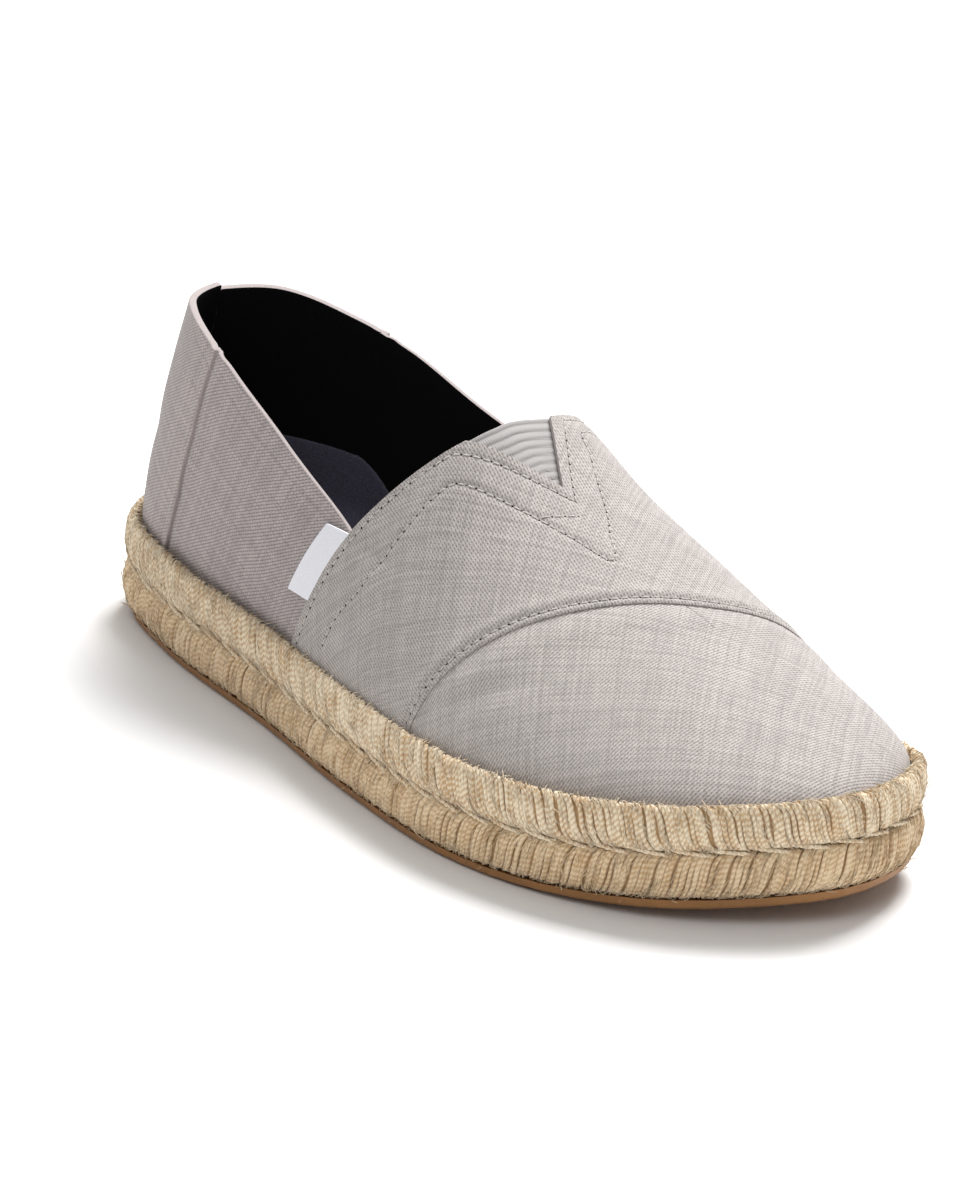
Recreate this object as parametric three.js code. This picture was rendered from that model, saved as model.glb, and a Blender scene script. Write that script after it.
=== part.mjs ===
// A slip-on espadrille for the right foot, in millimetres. +X runs from the heel to the toe, +Y to
// the inner side of the foot and +Z up. The origin is on the floor, under the middle of the sole.
//
// Everything follows from one outline, that of the sole, and one surface, that of the last:
// profile curves rise from the foot of the upper all round the shoe and meet on a ridge line.
import * as THREE from "three";

// Driving sizes
const LENGTH = 290;
const GAP = 0.3;
const RUBBER = 3;
const LOWER_ROPE_TOP = 16;
const UPPER_ROPE_TOP = 28.6;
const POCKET_FLOOR = 24.6;
const WALL = 1.8;
const CANVAS = 0.8;
const VAMP_FOLD = 0.2;
const VAMP_CLEARANCE = 0.4;
const TOE_SPRING = 8;
const SPRING_START = 205;
const HEEL_LIFT = 1.2;
const HEEL_LIFT_END = 22;

// The sole's outer edge, measured from the back of the heel. Across is minus on the outer side.
const SOLE_EDGE = [
  { along: 0, across: 3 },
  { along: 10, across: -19 },
  { along: 45, across: -33 },
  { along: 100, across: -42.5 },
  { along: 150, across: -53 },
  { along: 200, across: -58 },
  { along: 240, across: -49 },
  { along: 270, across: -29.5 },
  { along: 290, across: 8 },
  { along: 273, across: 44.5 },
  { along: 240, across: 53 },
  { along: 200, across: 52 },
  { along: 150, across: 42 },
  { along: 100, across: 34 },
  { along: 45, across: 37 },
  { along: 10, across: 25 },
];
const CENTRE_ALONG = 144.9;
const CENTRE_ACROSS = -2.2;

// How far inside the sole's edge the foot of the upper stands.
const UPPER_INSET = [
  { along: 0, inset: 5.4 },
  { along: 60, inset: 4.8 },
  { along: 120, inset: 4.4 },
  { along: 180, inset: 4.8 },
  { along: 240, inset: 5.4 },
];

// The ridge: height of the last above the floor, and how far it stands across. Behind the throat it
// is only a guide for the sides, which end at the collar well below it.
const RIDGE = [
  { along: 40, height: 140, across: 3 },
  { along: 80, height: 130, across: 1 },
  { along: 120, height: 108, across: 0 },
  { along: 147, height: 95, across: 1 },
  { along: 168, height: 80.5, across: 4 },
  { along: 195, height: 68, across: 8 },
  { along: 215, height: 60.5, across: 11 },
  { along: 235, height: 53.5, across: 13 },
  { along: 252, height: 47, across: 13 },
];
const RIDGE_HEEL_END = 40;
const RIDGE_TOE_END = 252;

// The profile curves of each side. Rise is how far each one climbs straight before it turns in, and
// crown how far it runs level before it meets the ridge, as shares of its height and width. Bulge
// leans its foot out.
const OUTER_PROFILE = [
  { along: 6, rise: 0.15, crown: 0.4, bulge: 0 },
  { along: 20, rise: 0.3, crown: 0.6, bulge: 0 },
  { along: 45, rise: 0.5, crown: 0.85, bulge: 0 },
  { along: 90, rise: 0.45, crown: 0.75, bulge: 0 },
  { along: 125, rise: 0.15, crown: 0.42, bulge: 0 },
  { along: 160, rise: 0.3, crown: 0.48, bulge: 0 },
  { along: 210, rise: 0.35, crown: 0.42, bulge: 0.05 },
  { along: 284, rise: 0.4, crown: 0.5, bulge: 0.05 },
];
const INNER_PROFILE = [
  { along: 6, rise: 0.15, crown: 0.4, bulge: 0 },
  { along: 20, rise: 0.35, crown: 0.7, bulge: 0 },
  { along: 45, rise: 0.55, crown: 1, bulge: 0.06 },
  { along: 90, rise: 0.5, crown: 1.1, bulge: 0.16 },
  { along: 125, rise: 0.55, crown: 1.12, bulge: 0.12 },
  { along: 160, rise: 0.7, crown: 1, bulge: 0.06 },
  { along: 210, rise: 0.66, crown: 0.76, bulge: 0.06 },
  { along: 284, rise: 0.4, crown: 0.5, bulge: 0.05 },
];

// The collar's edge seen from each side, from the back of the heel to the corner of the throat.
const TOPLINE = [
  { along: 0, outer: 93, inner: 93 },
  { along: 25, outer: 94, inner: 91.4 },
  { along: 42, outer: 94, inner: 86.8 },
  { along: 55, outer: 91.6, inner: 84.6 },
  { along: 70, outer: 86.6, inner: 83 },
  { along: 88, outer: 79.6, inner: 80.4 },
  { along: 108, outer: 70, inner: 76.5 },
  { along: 125, outer: 61.5, inner: 72 },
];
// The vamp's back edge seen from the side, from the sole up to the tips beside the gore.
const VAMP_EDGE = [
  { height: 20, along: 112 },
  { height: 45, along: 118 },
  { height: 61.5, along: 124.5 },
  { height: 74, along: 132.5 },
  { height: 86, along: 142 },
  { height: 94, along: 148.5 },
];
const CORNER_HEIGHT = { [-1]: 61.5, [1]: 66.5 };
const NOTCH_HALF_WIDTH = 15;
const NOTCH_DEPTH = 31.5;
const GORE_LAP = 2.5;
const GORE_BOW = 1;
const GORE_CLEARANCE = 0.6;
const GORE_TIP_STATIONS = 0.002;
// The gore's faces, measured down from the last's surface.
const GORE_TOP = 0.3;
const GORE_FOOT = 1.4;
const GORE_COLUMNS = 5;
const GORE_ROWS = 8;

// The seam between vamp and toe cap seen from above: its place on the centre line, how much further
// forward it runs on the inner side, and how far it bows forward in the middle.
const CAP_SEAM = { along: 203, skew: 0.45, bow: 4, halfWidth: 48 };
// The seam of the heel panel, at the collar and at the sole.
const HEEL_SEAM = { top: 57, foot: 38 };
const LABEL = { length: 20, width: 8.5, below: 1.5, thickness: 0.9, lift: 0.45, behind: 0.6 };
const LABEL_COLUMNS = 3;
const LABEL_ROWS = 5;

// The rubber sheet's rings: height, and how far in from the sole's edge each lies.
const OUTSOLE_RINGS = [
  { height: 0, inset: 4.2 },
  { height: 1, inset: 2.6 },
  { height: RUBBER, inset: 2 },
];
// The ropes' sides: each ring's height as a share of the rope's, and how far in it lies.
const ROPE_SIDE = [
  { share: 0, inset: 2.6 },
  { share: 0.16, inset: 0.9 },
  { share: 0.5, inset: 0 },
  { share: 0.82, inset: 0.9 },
];
const ROPE_TOP_INSET = 2.6;
const ROPE_TOP_DROP = 0.4;
const ROPE_TURNS = 80;
const TURN_DEPTH = 0.8;
const TURN_LEAN = 4;
const OUTSOLE_STATIONS = 72;
const INSOLE_STATIONS = 64;
const INSOLE_CLEAR = 0.6;
// The insole's rings: height above the pocket, and how far each lies inside its widest one.
const INSOLE_RINGS = [
  { height: 0, inside: 0.5 },
  { height: 3.4, inside: 0 },
  { height: 2.7, inside: 6 },
];
const WALL_ROWS = 7;
const CROWN_ROWS = 7;
const PANEL_COLUMNS = 8;
const CAP_COLUMNS = 10;
const LINE_TOP = 0.999;

const OUTER = -1;
const INNER = 1;
const TINY = 1e-4;
const SAME_PLACE = 0.02;

// Reads one column of a table at a place, with a smooth curve through the rows.
function read(table, key, at, column) {
  const last = table.length - 1;
  if (at <= table[0][key]) return table[0][column];
  if (at >= table[last][key]) return table[last][column];
  let i = 0;
  while (at > table[i + 1][key]) i++;
  const slope = (a, b) => (table[b][column] - table[a][column]) / (table[b][key] - table[a][key]);
  const step = table[i + 1][key] - table[i][key];
  const t = (at - table[i][key]) / step;
  const leave = slope(Math.max(i - 1, 0), i + 1) * step;
  const arrive = slope(i, Math.min(i + 2, last)) * step;
  const from = table[i][column];
  const to = table[i + 1][column];
  return (
    (2 * t ** 3 - 3 * t ** 2 + 1) * from +
    (t ** 3 - 2 * t ** 2 + t) * leave +
    (-2 * t ** 3 + 3 * t ** 2) * to +
    (t ** 3 - t ** 2) * arrive
  );
}

// Finds where a rising function crosses zero.
function solve(f, low, high) {
  for (let i = 0; i < 50; i++) {
    const middle = (low + high) / 2;
    if (f(middle) < 0) low = middle;
    else high = middle;
  }
  return (low + high) / 2;
}

// How far the whole shoe is lifted off the floor by the toe spring and the heel's roll.
function lift(along) {
  const toe = Math.max(0, along - SPRING_START) / (LENGTH - SPRING_START);
  const heel = Math.max(0, HEEL_LIFT_END - along) / HEEL_LIFT_END;
  return TOE_SPRING * toe ** 2 + HEEL_LIFT * heel ** 2;
}

const soleEdge = new THREE.CatmullRomCurve3(
  SOLE_EDGE.map((p) => new THREE.Vector3(p.along, p.across, 0)),
  true,
  "centripetal",
);
soleEdge.arcLengthDivisions = 1200;

// A point of the sole's edge, moved in by inset. Turn runs from 0 to 1, round by the outer side.
function edgePoint(turn, inset) {
  const u = ((turn % 1) + 1) % 1;
  const tangent = soleEdge.getTangentAt(u);
  const out = new THREE.Vector3(tangent.y, -tangent.x, 0);
  return { at: soleEdge.getPointAt(u).addScaledVector(out, -inset), out };
}

// A point of the line on which the upper stands.
function footEdge(turn, extra = 0) {
  const u = ((turn % 1) + 1) % 1;
  return edgePoint(turn, read(UPPER_INSET, "along", soleEdge.getPointAt(u).x, "inset") + extra);
}

// The foot of the upper is cut into two sides by its rearmost and foremost points.
const FOOT_SAMPLES = 720;
const foot = Array.from({ length: FOOT_SAMPLES }, (_, i) => footEdge(i / FOOT_SAMPLES));
const rearmost = foot.reduce((best, p, i) => (p.at.x < foot[best].at.x ? i : best), 0);
const foremost = foot.reduce((best, p, i) => (p.at.x > foot[best].at.x ? i : best), 0);
const FOOT_START = foot[rearmost].at.x;
const FOOT_END = foot[foremost].at.x;
const BACK_TURN = rearmost > FOOT_SAMPLES / 2 ? rearmost / FOOT_SAMPLES - 1 : rearmost / FOOT_SAMPLES;
const TIP_TURN = foremost / FOOT_SAMPLES;

// A point of the upper's foot. Station runs from 0 at the back of the heel to 1 at the toe's tip.
function footPoint(side, station) {
  const along = FOOT_START + ((FOOT_END - FOOT_START) * (1 - Math.cos(Math.PI * station))) / 2;
  const reach = side === OUTER ? TIP_TURN - BACK_TURN : TIP_TURN - BACK_TURN - 1;
  const past = (s) => footEdge(BACK_TURN + reach * s).at.x - along;
  const share = station < TINY || station > 1 - TINY ? Math.round(station) : solve(past, 0, 1);
  const found = footEdge(BACK_TURN + reach * share);
  found.at.z = POCKET_FLOOR + GAP + lift(found.at.x);
  return found;
}

const profiles = new Map();

// The four control points of the profile curve that rises at a station.
function profile(side, station) {
  const key = side * 1e6 + Math.round(station * 1e5);
  if (profiles.has(key)) return profiles.get(key);
  const base = footPoint(side, station);
  const share = (base.at.x - FOOT_START) / (FOOT_END - FOOT_START);
  const along = RIDGE_HEEL_END + (RIDGE_TOE_END - RIDGE_HEEL_END) * share;
  const height = read(RIDGE, "along", along, "height");
  const near = Math.min(Math.max(along, RIDGE_HEEL_END + 1), RIDGE_TOE_END - 1);
  const slope = (read(RIDGE, "along", near + 1, "height") - read(RIDGE, "along", near - 1, "height")) / 2;
  const top = new THREE.Vector3(along, read(RIDGE, "along", along, "across"), height);
  const back = new THREE.Vector2(base.at.x - top.x, base.at.y - top.y);
  const width = back.length();
  back.divideScalar(width);
  const table = side === OUTER ? OUTER_PROFILE : INNER_PROFILE;
  const shape = (column) => read(table, "along", base.at.x, column);
  const climb = shape("rise") * (top.z - base.at.z);
  const run = shape("crown") * width;
  const lower = base.at.clone().addScaledVector(base.out, shape("bulge") * climb);
  lower.z += climb;
  const upper = top.clone().add(new THREE.Vector3(back.x * run, back.y * run, back.x * run * slope));
  const made = { curve: new THREE.CubicBezierCurve3(base.at, lower, upper, top), out: base.out, slope };
  profiles.set(key, made);
  return made;
}

// A point of the last's surface, and the way out of it. Level is 0 at the foot and 1 on the ridge.
function lastPoint(side, station, level) {
  const here = profile(side, station);
  const at = here.curve.getPoint(level);
  if (level < TINY) return { at, out: here.out.clone() };
  if (level > 1 - TINY) return { at, out: new THREE.Vector3(-here.slope, 0, 1).normalize() };
  const before = Math.max(0, station - 0.004);
  const after = Math.min(1, station + 0.004);
  const along = profile(side, after).curve.getPoint(level).sub(profile(side, before).curve.getPoint(level));
  const up = here.curve.getTangent(level);
  const out = along.cross(up).multiplyScalar(-side).normalize();
  return { at, out };
}

const topLevel = new Map();

// The level at which a profile curve reaches the collar's edge.
function collarLevel(side, station) {
  const key = side * 1e6 + Math.round(station * 1e5);
  if (!topLevel.has(key)) {
    const column = side === INNER && station > TINY ? "inner" : "outer";
    const above = (level) => {
      const at = profile(side, station).curve.getPoint(level);
      return at.z - read(TOPLINE, "along", at.x, column);
    };
    topLevel.set(key, solve(above, 0, 1));
  }
  return topLevel.get(key);
}

// The station at which the surface reaches a line across the shoe, at one level.
function stationAt(side, level, ahead) {
  return solve((station) => ahead(profile(side, station).curve.getPoint(level)), 0.02, 0.999);
}

const vampEdge = (p) => p.x - read(VAMP_EDGE, "height", p.z, "along");
const throatLevel = (side) =>
  solve((level) => {
    const station = stationAt(side, level, vampEdge);
    return profile(side, station).curve.getPoint(level).z - CORNER_HEIGHT[side];
  }, 0.02, 0.98);

// The vamp's back edge, with the notch for the gore, narrowed by inset.
function notchedEdge(inset) {
  return (p) => {
    const fromRidge = Math.abs(p.y - read(RIDGE, "along", p.x, "across"));
    const halfWidth = NOTCH_HALF_WIDTH - inset;
    const depth = NOTCH_DEPTH - inset;
    return vampEdge(p) - depth * Math.max(0, 1 - fromRidge / halfWidth);
  };
}

// The arc between the tips of the notch, which bows back towards the ankle.
function goreEdge(p) {
  const fromRidge = (p.y - read(RIDGE, "along", p.x, "across")) / NOTCH_HALF_WIDTH;
  return vampEdge(p) + GORE_BOW * Math.max(0, 1 - fromRidge ** 2);
}

function capSeam(p) {
  const across = p.y / CAP_SEAM.halfWidth;
  return p.x - CAP_SEAM.along - CAP_SEAM.skew * p.y - CAP_SEAM.bow * (1 - across ** 2);
}

function heelSeam(p) {
  const share = (p.z - UPPER_ROPE_TOP) / (TOPLINE[0].outer - UPPER_ROPE_TOP);
  return p.x - HEEL_SEAM.foot - (HEEL_SEAM.top - HEEL_SEAM.foot) * share;
}

const steps = (count) => Array.from({ length: count + 1 }, (_, i) => i / count);

// Gives a patch of the last its thickness, between two heights above the surface, as one closed
// solid. Patches that share an edge are joined there.
function wall(patches, low, high) {
  const places = [];
  const inner = [];
  const outer = [];
  const vertex = ({ side, station, level }) => {
    const { at, out } = lastPoint(side, station, level);
    const found = places.findIndex((place) => place.distanceTo(at) < SAME_PLACE);
    if (found >= 0) return found;
    places.push(at);
    outer.push(at.clone().addScaledVector(out, high));
    inner.push(at.clone().addScaledVector(out, low));
    return places.length - 1;
  };
  const faces = [];
  const face = (a, b, c) => {
    if (a !== b && b !== c && a !== c) faces.push([a, b, c]);
  };
  const apart = (a, b) => outer[a].distanceTo(outer[b]);
  for (const grid of patches) {
    const ids = grid.map((column) => column.map(vertex));
    for (let i = 0; i + 1 < ids.length; i++) {
      for (let j = 0; j + 1 < ids[i].length; j++) {
        const [a, b, c, d] = [ids[i][j], ids[i + 1][j], ids[i + 1][j + 1], ids[i][j + 1]];
        const split = apart(a, c) < apart(b, d) ? [a, b, c, a, c, d] : [a, b, d, b, c, d];
        face(...split.slice(0, 3));
        face(...split.slice(3));
      }
    }
  }
  const shift = outer.length;
  const index = [];
  const edges = new Set(faces.flatMap(([a, b, c]) => [`${a},${b}`, `${b},${c}`, `${c},${a}`]));
  for (const [a, b, c] of faces) {
    index.push(a, b, c, a + shift, c + shift, b + shift);
  }
  for (const edge of edges) {
    const [a, b] = edge.split(",").map(Number);
    if (!edges.has(`${b},${a}`)) index.push(b, a, a + shift, b, a + shift, b + shift);
  }
  return solidFrom([...outer, ...inner], index);
}

// Moves points from heel measure to the shoe's own frame and makes them a geometry.
function solidFrom(points, index) {
  const geometry = new THREE.BufferGeometry();
  const flat = points.flatMap((p) => [p.x - CENTRE_ALONG, p.y - CENTRE_ACROSS, p.z]);
  geometry.setAttribute("position", new THREE.Float32BufferAttribute(flat, 3));
  geometry.setIndex(index);
  geometry.computeVertexNormals();
  return geometry;
}

// Closes a stack of rings with strips that run across the shoe, so that they follow its lift.
function stack(rings) {
  const count = rings[0].length;
  const index = [];
  for (let r = 0; r + 1 < rings.length; r++) {
    for (let i = 0; i < count; i++) {
      const a = r * count + i;
      const b = r * count + ((i + 1) % count);
      index.push(a, b, b + count, a, b + count, a + count);
    }
  }
  const last = (rings.length - 1) * count;
  for (let k = 0; k < count / 2; k++) {
    const corners = [k, k + 1, count - k - 1, (count - k) % count];
    const [a, b, c, d] = corners;
    if (b !== c) index.push(last + a, last + b, last + c, a, c, b);
    if (a !== d) index.push(last + a, last + c, last + d, a, d, c);
  }
  return solidFrom(rings.flat(), index);
}

// One ring of the sole at a height. Ribs, if any, raise every other point.
function ring(count, inset, height, rib = 0, lean = 0) {
  return Array.from({ length: count }, (_, i) => {
    const depth = i % 2 ? rib / 2 : -rib / 2;
    const { at } = edgePoint((i + lean) / count, inset + depth);
    at.z = height + lift(at.x);
    return at;
  });
}

// The side of a rope, whose turns lean one way or the other as it is laid.
function ropeSide(bottom, top, hand) {
  const count = ROPE_TURNS * 2;
  return ROPE_SIDE.map(({ share, inset }) => {
    const lean = (hand * TURN_LEAN * (share - 0.5)) / 2;
    const rib = share === 0 ? 0 : TURN_DEPTH;
    return ring(count, inset, bottom + (top - bottom) * share, rib, lean);
  });
}

function outsole() {
  const count = OUTSOLE_STATIONS;
  return stack(OUTSOLE_RINGS.map(({ height, inset }) => ring(count, inset, height)));
}

function lowerRope() {
  const bottom = RUBBER + GAP;
  const lean = TURN_LEAN / 4;
  const rim = ring(ROPE_TURNS * 2, ROPE_TOP_INSET, LOWER_ROPE_TOP, 0, lean);
  return stack([...ropeSide(bottom, LOWER_ROPE_TOP, 1), rim]);
}

// One ring of the pocket that holds the upper, which opens upwards as the upper leans out.
function pocketRing(count, height, lean) {
  return Array.from({ length: count }, (_, i) => {
    const turn = (i + lean) / count;
    const foot = footEdge(turn).at;
    const table = foot.y < CENTRE_ACROSS ? OUTER_PROFILE : INNER_PROFILE;
    const flare = read(table, "along", foot.x, "bulge") * (height - POCKET_FLOOR);
    const { at } = footEdge(turn, -GAP - flare);
    at.z = height + lift(at.x);
    return at;
  });
}

// The upper rope's top turns in to the canvas and drops to a pocket that holds upper and insole.
function upperRope() {
  const count = ROPE_TURNS * 2;
  const bottom = LOWER_ROPE_TOP + GAP;
  const lean = -TURN_LEAN / 4;
  return stack([
    ...ropeSide(bottom, UPPER_ROPE_TOP, -1),
    ring(count, ROPE_TOP_INSET, UPPER_ROPE_TOP - ROPE_TOP_DROP, TURN_DEPTH / 2, lean),
    pocketRing(count, UPPER_ROPE_TOP, lean),
    pocketRing(count, POCKET_FLOOR, lean),
  ]);
}

// One ring inside the upper's wall, at a height above the pocket and clear of the wall.
function footRing(count, height, clear) {
  const half = count / 2;
  return Array.from({ length: count }, (_, i) => {
    const side = i <= half ? OUTER : INNER;
    const station = i <= half ? i / half : (count - i) / half;
    const base = footPoint(side, station).at.z;
    const inside = (level) => {
      const { at, out } = lastPoint(side, station, level);
      return at.addScaledVector(out, -WALL - clear);
    };
    return inside(solve((level) => inside(level).z - base - height, 0, 0.6));
  });
}

// The insole is a shallow dish inside the upper's wall.
function insole() {
  return stack(
    INSOLE_RINGS.map(({ height, inside }) => footRing(INSOLE_STATIONS, height, INSOLE_CLEAR + inside)),
  );
}

// The level at which a profile curve clears the rope, where the outer panels begin.
function panelFoot(side, station) {
  const clear = (level) => {
    const { at } = lastPoint(side, station, level);
    return at.z - UPPER_ROPE_TOP - GAP - lift(at.x);
  };
  return solve(clear, 0, 1);
}

// Spreads a grid over the last between two lines across the shoe. Its columns run from heel to
// toe on the outer side and back on the inner one. Each climbs by shares from the rope to its top,
// and one that stands in the pocket has one more row below. Panels and upper share these grids, so
// that their facets lie parallel.
function spread(side, { columns, shares, start, end, top, pocket }) {
  const grid = steps(columns).map((c) => {
    const column = shares(c).map((share) => {
      let level = share;
      let station = 0;
      for (let pass = 0; pass < 5; pass++) {
        const from = start(level);
        station = from + (end(level) - from) * c;
        const first = panelFoot(side, station);
        level = first + (top(station, c) - first) * share;
      }
      return { side, station, level };
    });
    return pocket ? [{ side, station: column[0].station, level: 0 }, ...column] : column;
  });
  return side === OUTER ? grid : grid.reverse();
}

// The share of the climb at which the throat's corner lies.
function cornerShare(side) {
  const corner = throatLevel(side);
  const first = panelFoot(side, stationAt(side, corner, vampEdge));
  return (corner - first) / (1 - first);
}

// The forepart's rows pass through the throat's corner at its back edge. Towards the cap seam they
// even out, so that both sides meet in the same rows at the toe.
const evenShare = (cornerShare(OUTER) + cornerShare(INNER)) / 2;
const foreShares = (side) => (c) => {
  const share = cornerShare(side) * (1 - c) + evenShare * c;
  const low = steps(WALL_ROWS).map((s) => share * s);
  const high = steps(CROWN_ROWS).slice(1).map((s) => share + (1 - share) * s);
  return [...low, ...high];
};
const wallShares = () => steps(WALL_ROWS);

const ridgeTop = () => 1;
const collarTop = (side) => (station) => collarLevel(side, station);
const lineOf = (side, line) => (level) => stationAt(side, Math.min(level, LINE_TOP), line);

const heelGrid = (side, extra) => ({
  columns: PANEL_COLUMNS,
  shares: wallShares,
  start: () => 0,
  end: lineOf(side, heelSeam),
  top: collarTop(side),
  ...extra,
});

const vampGrid = (side, inset, extra) => ({
  columns: PANEL_COLUMNS,
  shares: foreShares(side),
  start: lineOf(side, notchedEdge(inset)),
  end: lineOf(side, capSeam),
  top: ridgeTop,
  ...extra,
});

const capGrid = (side, extra) => ({
  columns: CAP_COLUMNS,
  shares: () => foreShares(side)(1),
  start: lineOf(side, capSeam),
  end: () => 1,
  top: ridgeTop,
  ...extra,
});

// Between heel seam and vamp the quarter's rows end at the collar, and those of its last column
// meet the forepart's.
function quarterTop(side, station, c) {
  if (c < 1) return collarLevel(side, station);
  const first = panelFoot(side, station);
  return first + (1 - first) * cornerShare(side);
}

const quarterGrid = (side) => ({
  columns: PANEL_COLUMNS,
  shares: wallShares,
  start: lineOf(side, heelSeam),
  end: lineOf(side, vampEdge),
  top: (station, c) => quarterTop(side, station, c),
  pocket: true,
});

// Lining and quarters are one hollow wall, open at the collar and underneath.
function upper() {
  const patches = [OUTER, INNER].flatMap((side) => [
    spread(side, heelGrid(side, { pocket: true })),
    spread(side, quarterGrid(side)),
    spread(side, vampGrid(side, 0, { pocket: true })),
    spread(side, capGrid(side, { pocket: true })),
  ]);
  return wall(patches, -WALL, 0);
}

function vamp() {
  const ahead = (p) => capSeam(p) + GAP / 2;
  const grid = (side) => vampGrid(side, GORE_LAP, { end: lineOf(side, ahead) });
  const patches = [OUTER, INNER].map((side) => spread(side, grid(side)));
  return wall(patches, VAMP_CLEARANCE, VAMP_CLEARANCE + CANVAS + VAMP_FOLD);
}

function toeCap() {
  const behind = (p) => capSeam(p) - GAP / 2;
  const grid = (side) => capGrid(side, { start: lineOf(side, behind) });
  const patches = [OUTER, INNER].map((side) => spread(side, grid(side)));
  return wall(patches, GAP, GAP + CANVAS);
}

// The heel panel wraps the back of the quarters up to a folded seam on each side.
function heelPanel() {
  const patches = [OUTER, INNER].map((side) => spread(side, heelGrid(side)));
  return wall(patches, GAP, GAP + CANVAS);
}

// The elastic gore fills the notch at the throat, at the depth of the upper's own wall.
function gore() {
  const patches = [OUTER, INNER].map((side) => {
    const front = (level) => stationAt(side, level, notchedEdge(GORE_CLEARANCE)) - GORE_TIP_STATIONS;
    const back = (level) => stationAt(side, level, goreEdge);
    const tip = solve((level) => front(level) - back(level), 0.5, 1);
    const grid = steps(GORE_COLUMNS).map((c) =>
      steps(GORE_ROWS).map((s) => {
        const level = tip + (1 - tip) * s;
        const width = s === 0 ? 0 : front(level) - back(level);
        return { side, station: back(level) + width * c, level };
      }),
    );
    return side === OUTER ? grid : grid.reverse();
  });
  return wall(patches, -GORE_FOOT, -GORE_TOP);
}

// The label is a folded tape caught under the vamp's edge, on the outer side.
function label() {
  const side = OUTER;
  const top = CORNER_HEIGHT[side] - LABEL.below;
  const place = (down, back) => {
    const height = top - down * LABEL.length;
    const line = (p) => vampEdge(p) + LABEL.behind + back * LABEL.width;
    const level = solve((l) => lastPoint(side, stationAt(side, l, line), l).at.z - height, 0, 0.9);
    return { side, station: stationAt(side, level, line), level };
  };
  const grid = steps(LABEL_COLUMNS).map((c) => steps(LABEL_ROWS).map((s) => place(1 - s, 1 - c)));
  return wall([grid], LABEL.lift, LABEL.lift + LABEL.thickness);
}

const finish = (color, roughness) => new THREE.MeshStandardMaterial({ color, roughness, metalness: 0 });
const CANVAS_GREY = 0xa19892;
const PIECES = [
  { name: "outsole", make: outsole, material: finish(0x8a6038, 0.7) },
  { name: "lower_rope", make: lowerRope, material: finish(0xcdb08a, 0.95) },
  { name: "upper_rope", make: upperRope, material: finish(0xd8c4a2, 0.95) },
  { name: "insole", make: insole, material: finish(0x1b1a20, 0.9) },
  { name: "upper", make: upper, material: finish(CANVAS_GREY, 0.9) },
  { name: "vamp", make: vamp, material: finish(CANVAS_GREY, 0.9) },
  { name: "toe_cap", make: toeCap, material: finish(CANVAS_GREY, 0.9) },
  { name: "heel_panel", make: heelPanel, material: finish(CANVAS_GREY, 0.9) },
  { name: "elastic_gore", make: gore, material: finish(0xa6a2a0, 0.8) },
  { name: "side_label", make: label, material: finish(0xe2e2ea, 0.8) },
];

const shoe = new THREE.Group();
for (const { name, make, material } of PIECES) {
  const mesh = new THREE.Mesh(make(), material);
  mesh.name = name;
  shoe.add(mesh);
}

export default shoe;
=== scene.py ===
"""A canvas espadrille for the right foot, standing on a pale floor.

Sizes are millimetres unless a name says otherwise. +X runs from the heel to the toe, +Y to the
inner side of the foot and +Z up. Tables measure along the shoe from the back of the heel.
"""

import math

import bmesh
import bpy
import numpy as np
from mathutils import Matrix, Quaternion, Vector


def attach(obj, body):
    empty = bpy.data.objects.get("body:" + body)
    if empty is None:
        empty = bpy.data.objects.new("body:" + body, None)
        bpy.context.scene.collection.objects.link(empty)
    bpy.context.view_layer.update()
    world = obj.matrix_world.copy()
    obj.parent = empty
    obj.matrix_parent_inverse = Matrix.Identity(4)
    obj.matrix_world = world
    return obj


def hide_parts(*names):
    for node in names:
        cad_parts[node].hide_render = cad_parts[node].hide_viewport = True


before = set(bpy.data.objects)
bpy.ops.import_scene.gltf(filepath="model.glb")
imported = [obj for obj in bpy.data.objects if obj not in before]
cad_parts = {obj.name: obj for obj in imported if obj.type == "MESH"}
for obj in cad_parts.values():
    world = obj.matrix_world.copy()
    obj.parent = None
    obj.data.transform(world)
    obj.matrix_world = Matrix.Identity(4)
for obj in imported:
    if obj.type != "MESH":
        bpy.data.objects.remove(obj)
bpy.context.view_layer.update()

bl_info = {
    "name": "Espadrille",
    "version": (1, 0, 0),
    "blender": (4, 5, 0),
    "location": "View3D > Sidebar > Espadrille",
    "description": "Canvas, ropes, seams and studio of a slip-on espadrille",
    "category": "Object",
}

MM = 0.001
LENGTH = 290
CENTRE_ALONG = 144.9
CENTRE_ACROSS = -2.2
OUTER = -1
INNER = 1
SIDES = (OUTER, INNER)

# Sizes shared with the solids that the pieces stand for
LOWER_ROPE_FOOT = 3.3
LOWER_ROPE_TOP = 16
UPPER_ROPE_FOOT = 16.3
UPPER_ROPE_TOP = 28.6
FOOT_HEIGHT = 24.9
TOE_SPRING = 8
SPRING_START = 205
HEEL_LIFT = 1.2
HEEL_LIFT_END = 22
INSOLE_TOP = 28.3

SOLE_EDGE = [
    {"along": 0, "across": 3},
    {"along": 10, "across": -19},
    {"along": 45, "across": -33},
    {"along": 100, "across": -42.5},
    {"along": 150, "across": -53},
    {"along": 200, "across": -58},
    {"along": 240, "across": -49},
    {"along": 270, "across": -29.5},
    {"along": 290, "across": 8},
    {"along": 273, "across": 44.5},
    {"along": 240, "across": 53},
    {"along": 200, "across": 52},
    {"along": 150, "across": 42},
    {"along": 100, "across": 34},
    {"along": 45, "across": 37},
    {"along": 10, "across": 25},
]

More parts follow.
